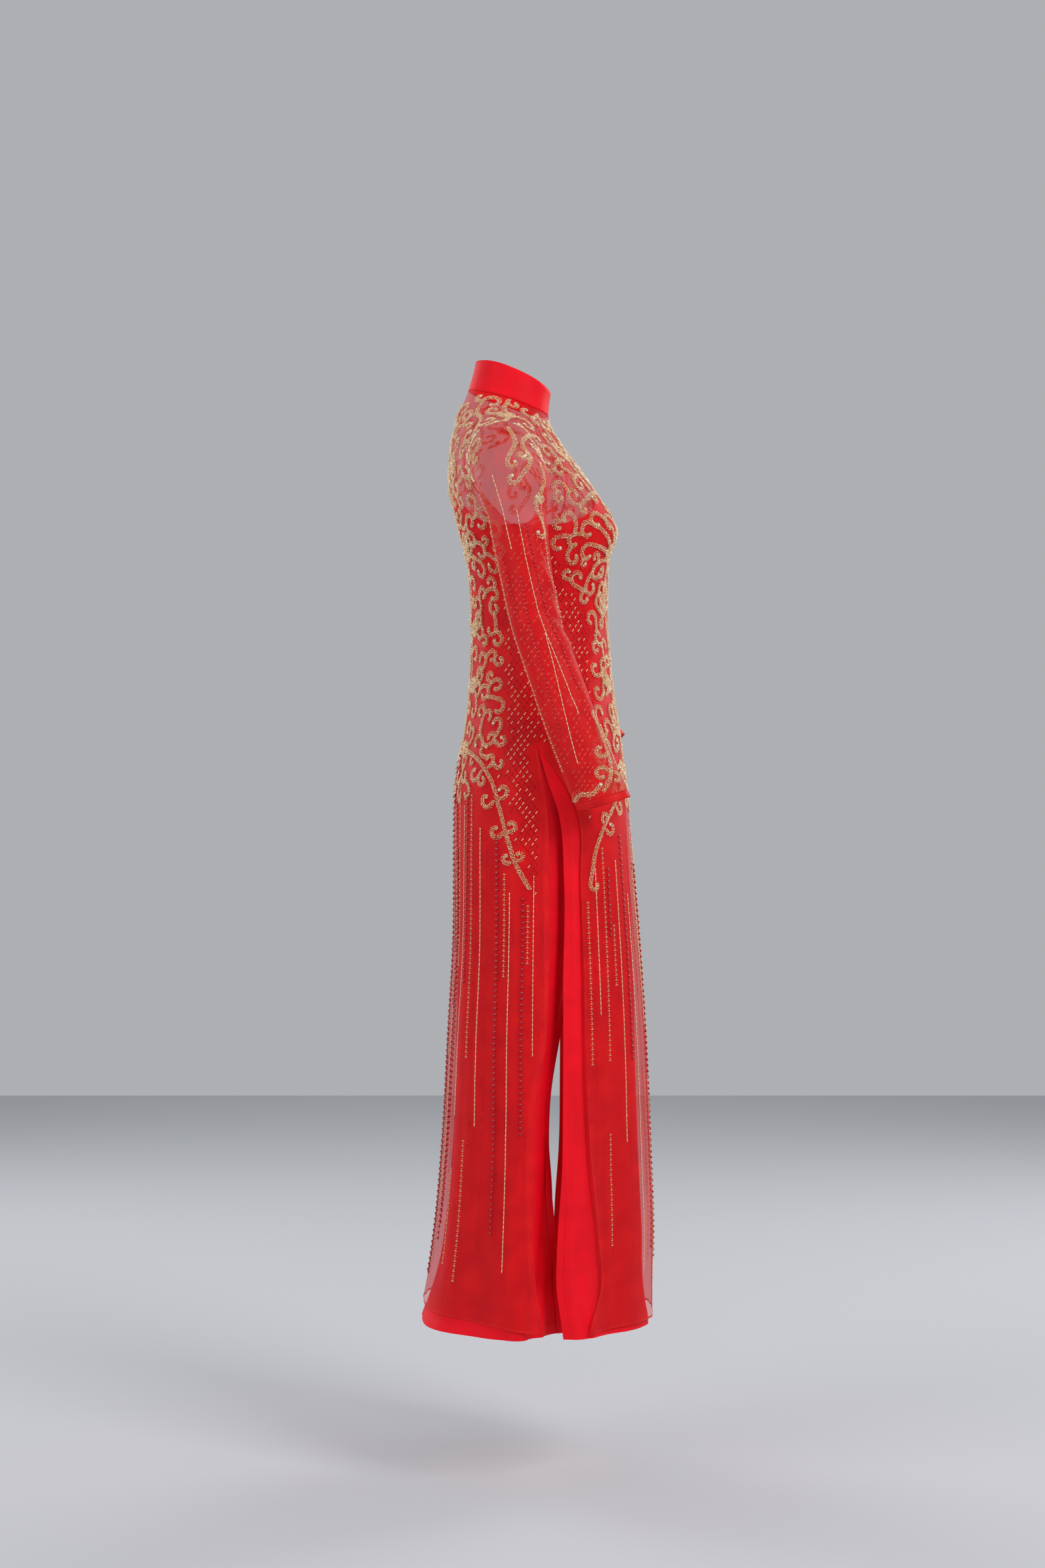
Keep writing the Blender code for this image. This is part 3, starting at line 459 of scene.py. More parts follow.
FANS = (
    # the bust
    fan(View.FRONT, 0.050, -0.222, 
        (120, 0.076, -46, -230), (95, 0.106, -50, -235), (71, 0.124, -48, -240),
        (49, 0.126, -42, -240), (27, 0.108, -38, -240), (5, 0.082, -42, -235),
        (150, 0.042, 55, 225), (-22, 0.052, 55, 235), (-46, 0.036, 60, 230)),
    # the waist
    fan(View.FRONT, 0.038, -0.292, 
        (32, 0.070, 46, 235), (6, 0.080, 50, 240), (-20, 0.074, 54, 240), (-48, 0.050, 55, 230)),
    fan(View.FRONT, 0.037, -0.394, 
        (62, 0.050, -50, -235), (34, 0.070, -46, -235), (6, 0.080, 46, 240), (-20, 0.072, 54, 240),
        (-46, 0.050, 58, 230)),
    # the hip
    fan(View.FRONT, 0.032, -0.458, 
        (30, 0.074, 42, 235), (4, 0.084, 46, 240), (-22, 0.070, 52, 240)),
    fan(View.FRONT, 0.042, -0.505, 
        (20, 0.076, -40, -240), (-2, 0.074, -38, -240), (-62, 0.050, 46, 235), (-100, 0.044, -50, -230)),
    fan(View.FRONT, 0.100, -0.552, (8, 0.040, 50, 235), (-72, 0.044, -50, -230)),
    fan(View.FRONT, 0.128, -0.584, (16, 0.032, 50, 230), (-92, 0.040, -46, -230)),
    # the yoke
    fan(View.FRONT, 0.046, -0.104, 
        (165, 0.042, 50, 235), (136, 0.052, 45, 240), (106, 0.058, -40, -240),
        (74, 0.052, -45, -240), (42, 0.042, -50, -235), (10, 0.036, -50, -235),
        (-150, 0.036, -50, -230)),
    fan(View.FRONT, 0.077, -0.076, 
        (122, 0.036, 45, 235), (70, 0.036, -45, -235), (30, 0.036, -50, -235), (-12, 0.036, -50, -230),
        (-44, 0.036, 50, 230)),
    fan(View.FRONT, 0.025, -0.049, (58, 0.032, -50, -235), (150, 0.026, 50, 230), (4, 0.032, -50, -235)),
    fan(View.ABOVE, 0.086, 0.001, 
        (96, 0.034, -45, -235), (56, 0.036, -50, -235), (-60, 0.036, 50, 235), (-100, 0.034, 45, 235)),
    # the shoulder blade
    fan(View.BACK, 0.042, -0.100, 
        (150, 0.038, 50, 235), (120, 0.050, 45, 240), (92, 0.056, -42, -240), (62, 0.060, -45, -240),
        (35, 0.060, -45, -240), (9, 0.052, -50, -240), (-22, 0.044, 55, 235)),
    fan(View.BACK, 0.033, -0.215, 
        (78, 0.070, -44, -235), (52, 0.098, -44, -240), (28, 0.112, -40, -240), (4, 0.104, -36, -240),
        (-20, 0.082, 46, 235), (-46, 0.056, 50, 230)),
    # the back of the waist
    fan(View.BACK, 0.028, -0.318, 
        (60, 0.052, -50, -235), (34, 0.080, -44, -240), (8, 0.092, 42, 240), (-18, 0.078, 48, 240),
        (-44, 0.054, 50, 235)),
    fan(View.BACK, 0.036, -0.395, 
        (60, 0.052, -50, -235), (33, 0.080, -44, -240), (7, 0.098, 42, 240), (-18, 0.084, 48, 240),
        (-46, 0.056, 50, 235)),
    fan(View.BACK, 0.042, -0.480, 
        (38, 0.066, -46, -240), (14, 0.078, -42, -240), (-60, 0.046, 50, 235), (-96, 0.040, -46, -230)),
    # the long branch beside the net
    fan(View.SIDE, 0.030, -0.505, (-150, 0.042, -50, -235), (-66, 0.052, 30, 230)),
    fan(View.SIDE, 0.013, -0.546, (-142, 0.040, -50, -235), (-62, 0.048, 30, 230)),
    fan(View.SIDE, 0.002, -0.590, (-136, 0.034, -50, -230), (-64, 0.040, 30, 230)),
    fan(View.SIDE, -0.010, -0.628, (-130, 0.026, -50, -220), (-66, 0.030, 30, 220)),
    # loops on the sleeve
    fan(View.SIDE, -0.026, -0.092, (170, 0.030, 50, 235), (20, 0.026, -50, -230)),
    fan(View.SIDE, -0.044, -0.146, (-150, 0.024, 46, 225), (-30, 0.024, -46, -225)),
)
# Gold fills the cloth in front of front_y and behind back_y, at each height
GOLD_COLUMNS = ("z", "front_y", "back_y")
GOLD_ZONE = (
    (0.040, 0.100, -0.100),
    (-0.030, 0.100, -0.100),
    (-0.046, 0.000, 0.012),
    (-0.075, -0.022, 0.030),
    (-0.110, -0.050, 0.034),
    (-0.150, -0.062, 0.018),
    (-0.200, -0.058, 0.004),
    (-0.246, -0.074, 0.002),
    (-0.280, -0.096, 0.003),
    (-0.320, -0.114, 0.004),
    (-0.380, -0.115, 0.003),
    (-0.430, -0.118, 0.000),
    (-0.480, -0.120, 0.002),
    (-0.520, -0.124, 0.012),
    (-0.545, -0.140, 0.045),
    (-0.570, -0.180, 0.080),
)
# The net of red beads lies between these, at each height
NET_COLUMNS = ("z", "net_front_y", "net_back_y")
NET_ZONE = (
    (-0.186, -0.062, 0.006),
    (-0.246, -0.080, 0.010),
    (-0.311, -0.118, 0.012),
    (-0.380, -0.118, 0.010),
    (-0.476, -0.122, 0.008),
    (-0.560, -0.116, 0.012),
    (-0.620, -0.110, -0.002),
    (-0.660, -0.104, -0.018),
    (-0.690, -0.100, -0.030),
)
NET_CELL = (0.009, 0.012)
NET_TOP_Z = -0.192
NET_SLIT_MARGIN = 0.011
BACK_LINES = (
    (3, -0.500, -1.205, Stitch.ROUND),
    (8, -0.530, -0.900, Stitch.PICOT),
    (8, -0.960, -1.190, Stitch.PICOT),
    (12, -0.490, -0.760, Stitch.ROUND),
    (15, -0.560, -1.100, Stitch.DASH),
    (19, -0.505, -0.830, Stitch.POINTED),
    (22, -0.620, -1.150, Stitch.ROUND),
    (26, -0.520, -0.780, Stitch.PICOT),
    (29, -0.800, -1.060, Stitch.SMALL),
    (33, -0.560, -0.980, Stitch.DASH),
    (33, -1.050, -1.180, Stitch.PICOT),
    (37, -0.540, -0.800, Stitch.ROUND),
    (42, -0.545, -0.900, Stitch.PICOT),
    (42, -1.010, -1.200, Stitch.PICOT),
    (46, -0.640, -1.020, Stitch.SMALL),
    (51, -0.590, -0.990, Stitch.DASH),
    (56, -0.600, -1.160, Stitch.SMALL),
    (60, -0.590, -0.760, Stitch.SMALL),
    (65, -0.600, -1.130, Stitch.ROUND),
    (71, -0.650, -0.790, Stitch.PICOT),
    (75, -0.676, -1.180, Stitch.DASH),
    (77, -0.700, -0.745, Stitch.SMALL),
    (84, -0.682, -0.995, Stitch.ROUND),
    (87, -0.692, -0.769, Stitch.PICOT),
    (90, -0.653, -0.893, Stitch.DASH),
    (94, -0.700, -0.860, Stitch.SMALL),
)
FRONT_LINES = (
    (2, -0.600, -1.215, Stitch.DASH),
    (7, -0.580, -0.900, Stitch.PICOT),
    (11, -0.640, -1.180, Stitch.ROUND),
    (15, -0.590, -0.860, Stitch.DASH),
    (19, -0.653, -0.829, Stitch.PICOT),
    (19, -0.930, -1.200, Stitch.PICOT),
    (24, -0.600, -1.090, Stitch.SMALL),
    (28, -0.680, -1.190, Stitch.DASH),
    (33, -0.600, -0.900, Stitch.ROUND),
    (36, -0.980, -1.180, Stitch.SMALL),
    (39, -0.634, -1.014, Stitch.DASH),
    (43, -0.720, -0.800, Stitch.PICOT),
    (46, -0.644, -0.736, Stitch.ROUND),
    (50, -0.616, -0.903, Stitch.PICOT),
    (50, -1.000, -1.150, Stitch.PICOT),
    (56, -0.644, -0.840, Stitch.DASH),
    (59, -0.660, -1.080, Stitch.SMALL),
    (62, -0.688, -0.905, Stitch.PICOT),
    (65, -0.690, -0.980, Stitch.SMALL),
)
LINES = tuple(Line(front, *row) for front, rows in ((False, BACK_LINES), (True, FRONT_LINES)) for row in rows)
SLEEVE_LINES = tuple(SleeveLine(*row) for row in (
    (0.26, -56, 0.49, -39, Stitch.POINTED),
    (0.37, -13, 0.77, -27, Stitch.POINTED),
    (0.24, 17, 0.70, 44, Stitch.POINTED),
    (0.11, -34, 0.29, -24, Stitch.DASH),
    (0.20, 0, 0.75, 21, Stitch.DASH),
    (0.53, 11, 0.87, -17, Stitch.DASH),
    (0.13, -84, 0.88, -66, Stitch.PICOT),
    (0.14, 56, 0.52, 84, Stitch.PICOT),
    (0.16, 112, 0.48, 118, Stitch.DASH),
    (0.30, 150, 0.62, 158, Stitch.POINTED),
    (0.22, -108, 0.60, -112, Stitch.DASH),
    (0.46, -142, 0.80, -150, Stitch.POINTED),
))
# The scrolls of a cuff, by shares of the arm's length and degrees round from its outer side
CUFF_STEMS = (
    ((0.965, 8), (0.935, 38), (0.890, 58), (0.830, 66), (0.760, 62)),
    ((0.970, 150), (0.940, 120), (0.900, 96), (0.850, 90), (0.800, 98)),
    ((0.968, -70), (0.955, -40), (0.962, -12), (0.945, 10)),
    ((0.968, -100), (0.950, -128), (0.962, -158), (0.945, -180)),
)

# The beads' sizes, in metres: length, width and height
SEED = (0.0023, 0.0020, 0.0018)
SMALL_RED = (0.0019, 0.0017, 0.0016)
TUBE = (0.0046, 0.0013, 0.0013)
NET_TUBE = (0.0052, 0.0012, 0.0012)
LARGE_ROUND = (0.0050, 0.0050, 0.0034)
POINTED_BEAD = (0.0052, 0.0036, 0.0028)
STONE = (0.0030, 0.0030, 0.0022)
SCROLL_PITCH = 0.00182
SCROLL_HALF = 0.0025
SCROLL_ROOM = 0.0080
# How tight a curl's hook is, by its length
HOOK_RADIUS = ((0.010, 0.0030), (0.030, 0.0042), (0.050, 0.0056), (0.090, 0.0068))
NECK_MARGIN_FRONT = 0.003
NECK_MARGIN_BACK = 0.012


class Layer(Enum):
    """The sheer outer cloth or the opaque one inside it."""

    TULLE = "tulle"
    UNDER = "under"


@dataclass(frozen=True)
class Curves:
    """A table's columns as smooth curves over one of them."""

    names: tuple[str, ...]
    at: np.ndarray
    values: np.ndarray

    @classmethod
    def through(cls, rows: object, names: tuple[str, ...], key: str, step: float = 0.001) -> Curves:
        """Draws the curves.

        Args:
            rows: The table.
            names: The names of its columns.
            key: The column that the others are read by.
            step: How far apart the drawn values lie.

        Returns:
            The curves.
        """
        data = np.array(rows, float)
        k = names.index(key)
        data = data[np.argsort(data[:, k])]
        x = data[:, k]
        slope = np.gradient(data, x, axis=0)
        at = np.linspace(x[0], x[-1], max(2, int((x[-1] - x[0]) / step) + 1))
        i = np.clip(np.searchsorted(x, at, side="right") - 1, 0, len(x) - 2)
        span = (x[i + 1] - x[i])[:, None]
        u = (at - x[i])[:, None] / span
        values = (
            (2 * u**3 - 3 * u**2 + 1) * data[i]
            + (u**3 - 2 * u**2 + u) * span * slope[i]
            + (3 * u**2 - 2 * u**3) * data[i + 1]
            + (u**3 - u**2) * span * slope[i + 1]
        )
        return cls(names, at, values)

    def read(self, name: str, at: object) -> np.ndarray:
        """The named column's value at these places."""
        return np.interp(at, self.at, self.values[:, self.names.index(name)])


def soft_min(a: np.ndarray, b: np.ndarray, melt: float) -> np.ndarray:
    """The smaller of two distances, blended over a width where they are alike."""
    share = np.clip(0.5 + 0.5 * (b - a) / melt, 0, 1)
    return b * (1 - share) + a * share - melt * share * (1 - share)


def capsule(points: np.ndarray, start: np.ndarray, end: np.ndarray, radius: float) -> np.ndarray:
    """The distance of points from a round-ended bar."""
    along = end - start
    share = np.clip((points - start) @ along / (along @ along), 0, 1)
    return np.linalg.norm(points - start - share[..., None] * along, axis=-1) - radius


def even(line: np.ndarray, shares: object) -> np.ndarray:
    """The points at these shares of a line's length."""
    along = np.concatenate([[0], np.cumsum(np.linalg.norm(np.diff(line, axis=0), axis=1))])
    return np.stack([np.interp(np.asarray(shares) * along[-1], along, line[:, k]) for k in range(3)], axis=1)


class Form:
    """The tunic's outer face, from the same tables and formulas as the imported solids."""

    def __init__(self) -> None:
        """Draws the curves and finds the underarm and the raglan seams."""
        self.body = Curves.through(BODY, BODY_COLUMNS, "z")
        self.slit = Curves.through(SLIT, SLIT_COLUMNS, "z")
        self.cap = Curves.through(CAP, CAP_COLUMNS, "step", 0.005)
        self.underarm = self._find_underarm()
        self.seam = {front: even(self._raglan(front, 160), np.linspace(0, 1, 161)) for front in (True, False)}

    def cups(self, x: np.ndarray, z: np.ndarray) -> np.ndarray:
        """How far the two bust darts lift the front."""
        spread = ((np.abs(x) - BUST_X) ** 2 + (z - BUST_Z) ** 2) / BUST_SPREAD**2
        return BUST_LIFT * np.exp(-spread)

    def outside(self, points: np.ndarray) -> np.ndarray:
        """About how far each point lies outside the body, shoulders and upper arms together."""
        points = points * 1.0
        points[..., 0] = np.abs(points[..., 0])
        x, y, z = points[..., 0], points[..., 1], points[..., 2]
        side = self.body.read("side", z)
        dy = y - side
        deep = np.where(dy > 0, self.body.read("back", z) - side, side - self.body.read("front", z) + self.cups(x, z))
        square = self.body.read("square", z)
        share = (
            (np.abs(x) / self.body.read("half_width", z)) ** square + (np.abs(dy) / deep) ** square + 1e-12
        ) ** (1 / square)
        trunk = np.hypot(x, dy) * (1 - 1 / share)
        arm = np.array(SLEEVE_RIGHT)
        upper = capsule(points, arm[0, :3], arm[1, :3], UPPER_ARM_RADIUS)
        lower = capsule(points, arm[1, :3], arm[3, :3], LOWER_ARM_RADIUS)
        shoulder = capsule(points, SHOULDER_START, SHOULDER_END, SHOULDER_RADIUS)
        trunk = soft_min(trunk, shoulder, SHOULDER_MELT)
        return soft_min(trunk, soft_min(upper, lower, SHOULDER_MELT), ARMPIT_MELT)

    def first_exit(self, starts: np.ndarray, directions: np.ndarray, reach: float = 0.30) -> np.ndarray:
        """Where rays from inside first leave the outer face.

        Args:
            starts: Where the rays start.
            directions: Their directions, of any length.
            reach: How far they look.

        Returns:
            One point for each ray.
        """
        directions = directions / np.linalg.norm(directions, axis=-1, keepdims=True)
        low = np.zeros(directions.shape[:-1])
        high = np.full(low.shape, reach)
        found = np.zeros(low.shape, bool)
        for distance in np.linspace(0, reach, 150):
            here = self.outside(starts + directions * distance) > 0
            high = np.where(here & ~found, distance, high)
            low = np.where(found | here, low, distance)
            found |= here
        for _ in range(20):
            middle = (low + high) / 2
            out = self.outside(starts + directions * middle[..., None]) > 0
            high = np.where(out, middle, high)
            low = np.where(out, low, middle)
        return starts + directions * high[..., None]

    def neck(self, angle: object) -> np.ndarray:
        """Points of the neck seam. The angle is 0 at centre front and pi at centre back."""
        angle = np.asarray(angle, float)
        forward = np.cos(angle)
        tilt = np.where(forward > 0, NECK_TILT_FRONT, NECK_TILT_BACK)
        directions = np.stack([np.sin(angle), -forward, -tilt * forward], axis=-1)
        return self.first_exit(np.zeros(3) + 0 * directions, directions)

    def _find_underarm(self) -> np.ndarray:
        """The low point of the left armhole, where the side seam and the sleeve's own seam meet."""
        ridge = []
        for y in np.linspace(*UNDERARM_SEARCH_Y, 26):
            starts = np.array([(x, y, UNDERARM_SEARCH_Z) for x in np.linspace(*UNDERARM_SEARCH_X, 31)])
            ends = self.first_exit(starts, np.array(((0.0, 0.0, -1.0),)) + 0 * starts)
            ridge.append(ends[np.argmax(ends[:, 2])])
        ridge = np.array(ridge)
        return ridge[np.argmin(ridge[:, 2])]

    def _raglan(self, front: bool, steps: int) -> np.ndarray:
        """The left raglan seam from the neck to the underarm, cut by one flat plane."""
        angle = SEAM_NECK_ANGLE if front else math.pi - SEAM_NECK_ANGLE
        neck = self.neck([angle])[0]
        towards = -1.0 if front else 1.0
        middle = neck * 0.5 + self.underarm * 0.5 + np.array((-1.0, -towards, 0.0)) * SEAM_PLANE_SHIFT
        side = np.array((SEAM_PLANE_LEAN, towards, 0.0))
        a, b = neck - middle, self.underarm - middle
        first = a / np.linalg.norm(a)
        axis = np.cross(first, side)
        axis /= np.linalg.norm(axis)
        second = np.cross(axis, first)
        turn_b = math.atan2(b @ second, b @ first) % (2 * math.pi)
        turns = np.linspace(0, turn_b, steps)
        flat = (b - (b @ first) * first - (b @ second) * second) @ axis
        directions = np.cos(turns)[:, None] * first + np.sin(turns)[:, None] * second
        lift = smooth_step(turns / turn_b)[:, None] * axis * flat / np.linalg.norm(b)
        line = self.first_exit(middle + 0 * directions, directions + lift)
        line[0], line[-1] = neck, self.underarm
        return line

    def yoke_row(self, front: bool, share: float, samples: int = 161) -> np.ndarray:
        """A panel's row above the underarm, from the right raglan seam over the middle to the left one."""
        seam = even(self.seam[front], [share])[0]
        start = np.array((0.0, share * YOKE_START_Y, share * self.underarm[2]))
        away = seam - start
        flat = math.hypot(away[0], away[1])
        edge = math.atan2(away[0], -away[1] if front else away[1])
        edge_slope = away[2] / flat
        middle_slope = (1 - share) * (-NECK_TILT_FRONT if front else NECK_TILT_BACK)
        angles = np.linspace(-edge, edge, samples)
        part = (np.cos(angles) - math.cos(edge)) / (1 - math.cos(edge))
        slope = edge_slope + (middle_slope - edge_slope) * part
        towards = -np.cos(angles) if front else np.cos(angles)
        directions = np.stack([np.sin(angles), towards, slope], axis=-1)
        line = self.first_exit(start + 0 * directions, directions)
        line[-1] = seam
        line[0] = seam * (-1, 1, 1)
        return line

    def ring(self, turn: np.ndarray, z: object) -> np.ndarray:
        """Points of a level section. turn is 0 at centre back, pi/2 at the left side, pi at centre front."""
        turn = np.asarray(turn, float)
        z = z + 0 * turn
        square = self.body.read("square", z)
        s, c = np.sin(turn), np.cos(turn)
        side = self.body.read("side", z)
        x = self.body.read("half_width", z) * np.sign(s) * np.abs(s) ** (2 / square)
        front_deep = side - self.body.read("front", z) + self.cups(x, z)
        deep = np.where(c > 0, self.body.read("back", z) - side, front_deep)
        y = side + deep * np.sign(c) * np.abs(c) ** (2 / square)
        return np.stack([x, y, z], axis=-1)

    def turn_at(self, y: float, z: float) -> float:
        """The turn at which a section's left side has this y."""
        side, square = self.body.read("side", z), self.body.read("square", z)
        deep = (self.body.read("back", z) if y > side else self.body.read("front", z)) - side
        share = min(1.0, abs((y - side) / deep)) ** (square / 2)
        return math.acos(share if y > side else -share)

    def body_row(self, front: bool, z: float, samples: int = 161) -> np.ndarray:
        """A panel's row between the underarm and the slit, from side seam to side seam."""
        turns = np.linspace(-1, 1, samples) * math.pi / 2
        return self.ring(math.pi - turns if front else turns, z)

    def fold_depth(self, panel: str, turn: np.ndarray, z: np.ndarray) -> np.ndarray:
        """How far the hanging folds push a point out."""
        total = 0.0 * turn
        for name, place, spread, depth, top in FOLDS:
            if name == panel:
                grown = smooth_step((top - z) / (top - LOWEST_Z))
                away = (np.abs(turn) / (math.pi / 2) - place) * QUARTER_ROUND
                total = total + depth * grown * np.exp(-((away / spread) ** 2))
        return total

    def flap_row(self, front: bool, layer: Layer, step: float, samples: int = 201) -> np.ndarray:
        """A skirt panel's row below the slit, from its right edge to its left one."""
        panel = "front" if front else "back"
        key = f"{panel}_{layer.value}"
        z = SLIT_TOP_Z + (HEM_Z[key] - SLIT_TOP_Z) * step
        edge = self.turn_at(float(self.slit.read(f"{layer.value}_{panel}", z)), z)
        shares = np.linspace(-1, 1, samples)
        turns = shares * (math.pi - edge if front else edge)
        heights = z - CORNER_DROP[key] * step**2 * np.abs(shares) ** 3
        line = self.ring(math.pi - turns if front else turns, heights)
        push = self.fold_depth(panel, turns, heights)
        if layer is Layer.UNDER:
            hang = self.slit.read("in_front" if front else "in_back", z)
            push = push - UNDER_INSET - hang * np.abs(np.cos(turns)) ** HANG_POWER
        line = self._pushed(line, push)
        if layer is Layer.UNDER and not front:
            past = smooth_step((TURN_IN_FROM_Y - line[:, 1]) / (TURN_IN_FROM_Y - line[0, 1]))
            line[:, 0] -= np.sign(line[:, 0]) * float(self.slit.read("turn_in", z)) * past
        return line

    def _pushed(self, line: np.ndarray, amount: np.ndarray) -> np.ndarray:
        """A skirt panel's row moved outward, level, by an amount at each point."""
        tangent = np.gradient(line, axis=0)
        normal = np.stack([-tangent[:, 1], tangent[:, 0], 0 * tangent[:, 0]], axis=-1)
        normal /= np.linalg.norm(normal, axis=1, keepdims=True)
        middle = len(line) // 2
        sign = np.sign(normal[middle, 1] * (line[middle, 1] - SIDE_Y))
        return line + sign * normal * np.asarray(amount)[:, None]

    def panel_rows(self, front: bool) -> np.ndarray:
        """An outer panel's whole grid of points, from the neck to the hem."""
        rows = [self.yoke_row(front, step) for step in np.linspace(0.0, LAST_YOKE_STEP, YOKE_ROWS)]
        heights = np.linspace(self.underarm[2] - 0.004, SLIT_TOP_Z, BODICE_ROWS)
        rows += [self.body_row(front, z) for z in heights]
        rows += [self.flap_row(front, Layer.TULLE, step) for step in np.linspace(0, 1, SKIRT_ROWS + 1)[1:]]
        return np.array([even(row, np.linspace(0, 1, PANEL_COLUMNS)) for row in rows])

    def under_rows(self, front: bool, outer: np.ndarray, tops: int = 16) -> np.ndarray:
        """An underlayer's grid: the outer panel's points below a strapless edge, moved in, then its own skirt.

        Args:
            front: True for the front.
            outer: The outer panel's grid.
            tops: How many rows lie between the strapless edge and the underarm.

        Returns:
            The grid of points.
        """
        x = np.abs(outer[YOKE_ROWS, :, 0])
        middle = STRAPLESS_FRONT_Z if front else STRAPLESS_BACK_Z
        rise = SWEETHEART_RISE if front else 0.0
        top = middle + rise * np.exp(-(((x - BUST_X) / SWEETHEART_SPREAD) ** 2))
        past = smooth_step((x - STRAPLESS_DIP_X) / (x.max() - STRAPLESS_DIP_X))
        top = top + (STRAPLESS_SIDE_Z - top) * past**STRAPLESS_DIP_POWER
        first = YOKE_ROWS + 4
        order = np.arange(first + 1)
        begin = np.array([np.interp(-top[c], -outer[: first + 1, c, 2], order) for c in range(len(top))])
        rows = []
        for share in np.linspace(0, 1, tops, endpoint=False):
            place = begin + (first - begin) * share
            row = [[np.interp(place[c], order, outer[: first + 1, c, k]) for k in range(3)] for c in range(len(top))]
            rows.append(row)
        body = np.concatenate([np.array(rows), outer[first : YOKE_ROWS + BODICE_ROWS]])
        body = self.moved_in(body, UNDER_INSET)
        steps = np.linspace(0, 1, SKIRT_ROWS + 1)[1:]
        skirt = [even(self.flap_row(front, Layer.UNDER, s), np.linspace(0, 1, PANEL_COLUMNS)) for s in steps]
        return np.concatenate([body, np.array(skirt)])

    def moved_in(self, points: np.ndarray, depth: float) -> np.ndarray:
        """Points of the outer face moved straight in from it."""
        slopes = [self.outside(points + axis) - self.outside(points - axis) for axis in np.eye(3) * 0.0004]
        normal = np.stack(slopes, axis=-1)
        return points - depth * normal / np.linalg.norm(normal, axis=-1, keepdims=True)

    def cap_row(self, step: float, samples: int = 121) -> np.ndarray:
        """An open row of the left sleeve above the underarm, from the front raglan seam to the back one."""
        if step == 0.0:
            return self.neck(np.linspace(SEAM_NECK_ANGLE, math.pi - SEAM_NECK_ANGLE, samples))
        front, back = even(self.seam[True], [step])[0], even(self.seam[False], [step])[0]
        start = np.array([float(self.cap.read(axis, step)) for axis in "xyz"])
        rise = math.radians(float(self.cap.read("rise", step)))
        out = np.array((math.cos(rise), 0.0, math.sin(rise)))
        forward = np.array((0.0, -1.0, 0.0))
        along = np.cross(out, forward)
        ends = []
        for end in (front, back):
            away = end - start
            a, b, c = away @ out, away @ forward, away @ along
            ends.append((math.atan2(b, a), c / math.hypot(a, b)))
        (front_turn, front_slope), (back_turn, back_slope) = ends
        turns = np.linspace(front_turn, back_turn, samples)
        share = np.where(turns > 0, turns / front_turn, turns / back_turn)
        slope = np.where(turns > 0, front_slope, back_slope) * share ** (1 + min(1.0, 2.5 * step))
        directions = np.cos(turns)[:, None] * out + np.sin(turns)[:, None] * forward + slope[:, None] * along
        line = self.first_exit(start + 0 * directions, directions)
        line[0], line[-1] = front, back
        return line

    def sleeve_rows(self, table: tuple, cuff: float) -> np.ndarray:
        """The left sleeve's grid. Its first and last columns meet under the arm.

        Args:
            table: The arm's table.
            cuff: How long the wrist band is, which the grid stops short of.

        Returns:
            The grid of points, from the neck seam to the band.
        """
        arm = Arm(table)
        shares = np.linspace(0, 1, SLEEVE_COLUMNS + 1)
        rows = [even(self.cap_row(step), shares) for step in np.linspace(0, LAST_CAP_STEP, SLEEVE_CAP_ROWS)]
        heights = [-row[2] for row in table]
        first = float(np.interp(-(self.underarm[2] + 0.008), heights, arm.along / arm.length))
        turns = np.pi * (1 - 2 * shares)
        ring = arm.ring(first, turns)
        last = rows[-1]
        for step in np.linspace(LAST_CAP_STEP, 1.0, 7)[1:]:
            part = (step - LAST_CAP_STEP) / (1 - LAST_CAP_STEP)
            row = last + (ring - last) * part * 0.8
            for front, weight in ((True, (1 - shares) ** 6), (False, shares**6)):
                end = even(self.seam[front], [step])[0]
                row = row + (end - row[0 if front else -1]) * weight[:, None]
            rows.append(row)
        for share in np.linspace(first, 1 - cuff / arm.length, SLEEVE_TUBE_ROWS):
            rows.append(arm.ring(share, turns))
        return np.array(rows)


class Arm:
    """The round of one sleeve below the underarm, drawn for the left side."""

    def __init__(self, table: tuple) -> None:
        """Draws the curves of the arm's table."""
        data = np.array(table)
        self.along = np.concatenate([[0], np.cumsum(np.linalg.norm(np.diff(data[:, :3], axis=0), axis=1))])
        self.length = float(self.along[-1])
        rows = np.column_stack([self.along / self.length, data])
        self.curves = Curves.through(rows, ("share",) + ARM_COLUMNS, "share", 0.002)

    def ring(self, share: float, turns: np.ndarray) -> np.ndarray:
        """Points round the sleeve. turn 0 is its outer side, pi/2 its front and pi its inner side."""
        shares = share + np.array((0.0, -0.01, 0.01))
        middle, before, after = np.stack([self.curves.read(axis, shares) for axis in "xyz"], axis=1)
        ahead = (after - before) / np.linalg.norm(after - before)
        forward = np.array((0.0, -1.0, 0.0)) + ahead[1] * ahead
        forward /= np.linalg.norm(forward)
        outward = np.cross(forward, ahead)
        wide, deep = (float(self.curves.read(name, share)) for name in ("half_wide", "half_deep"))
        slant = CUFF_SLANT * smooth_step((share - CUFF_SLANT_FROM) / (1 - CUFF_SLANT_FROM))
        across, along = np.cos(turns)[:, None] * wide, np.sin(turns)[:, None] * deep
        return middle + across * outward + along * (forward + slant * ahead)


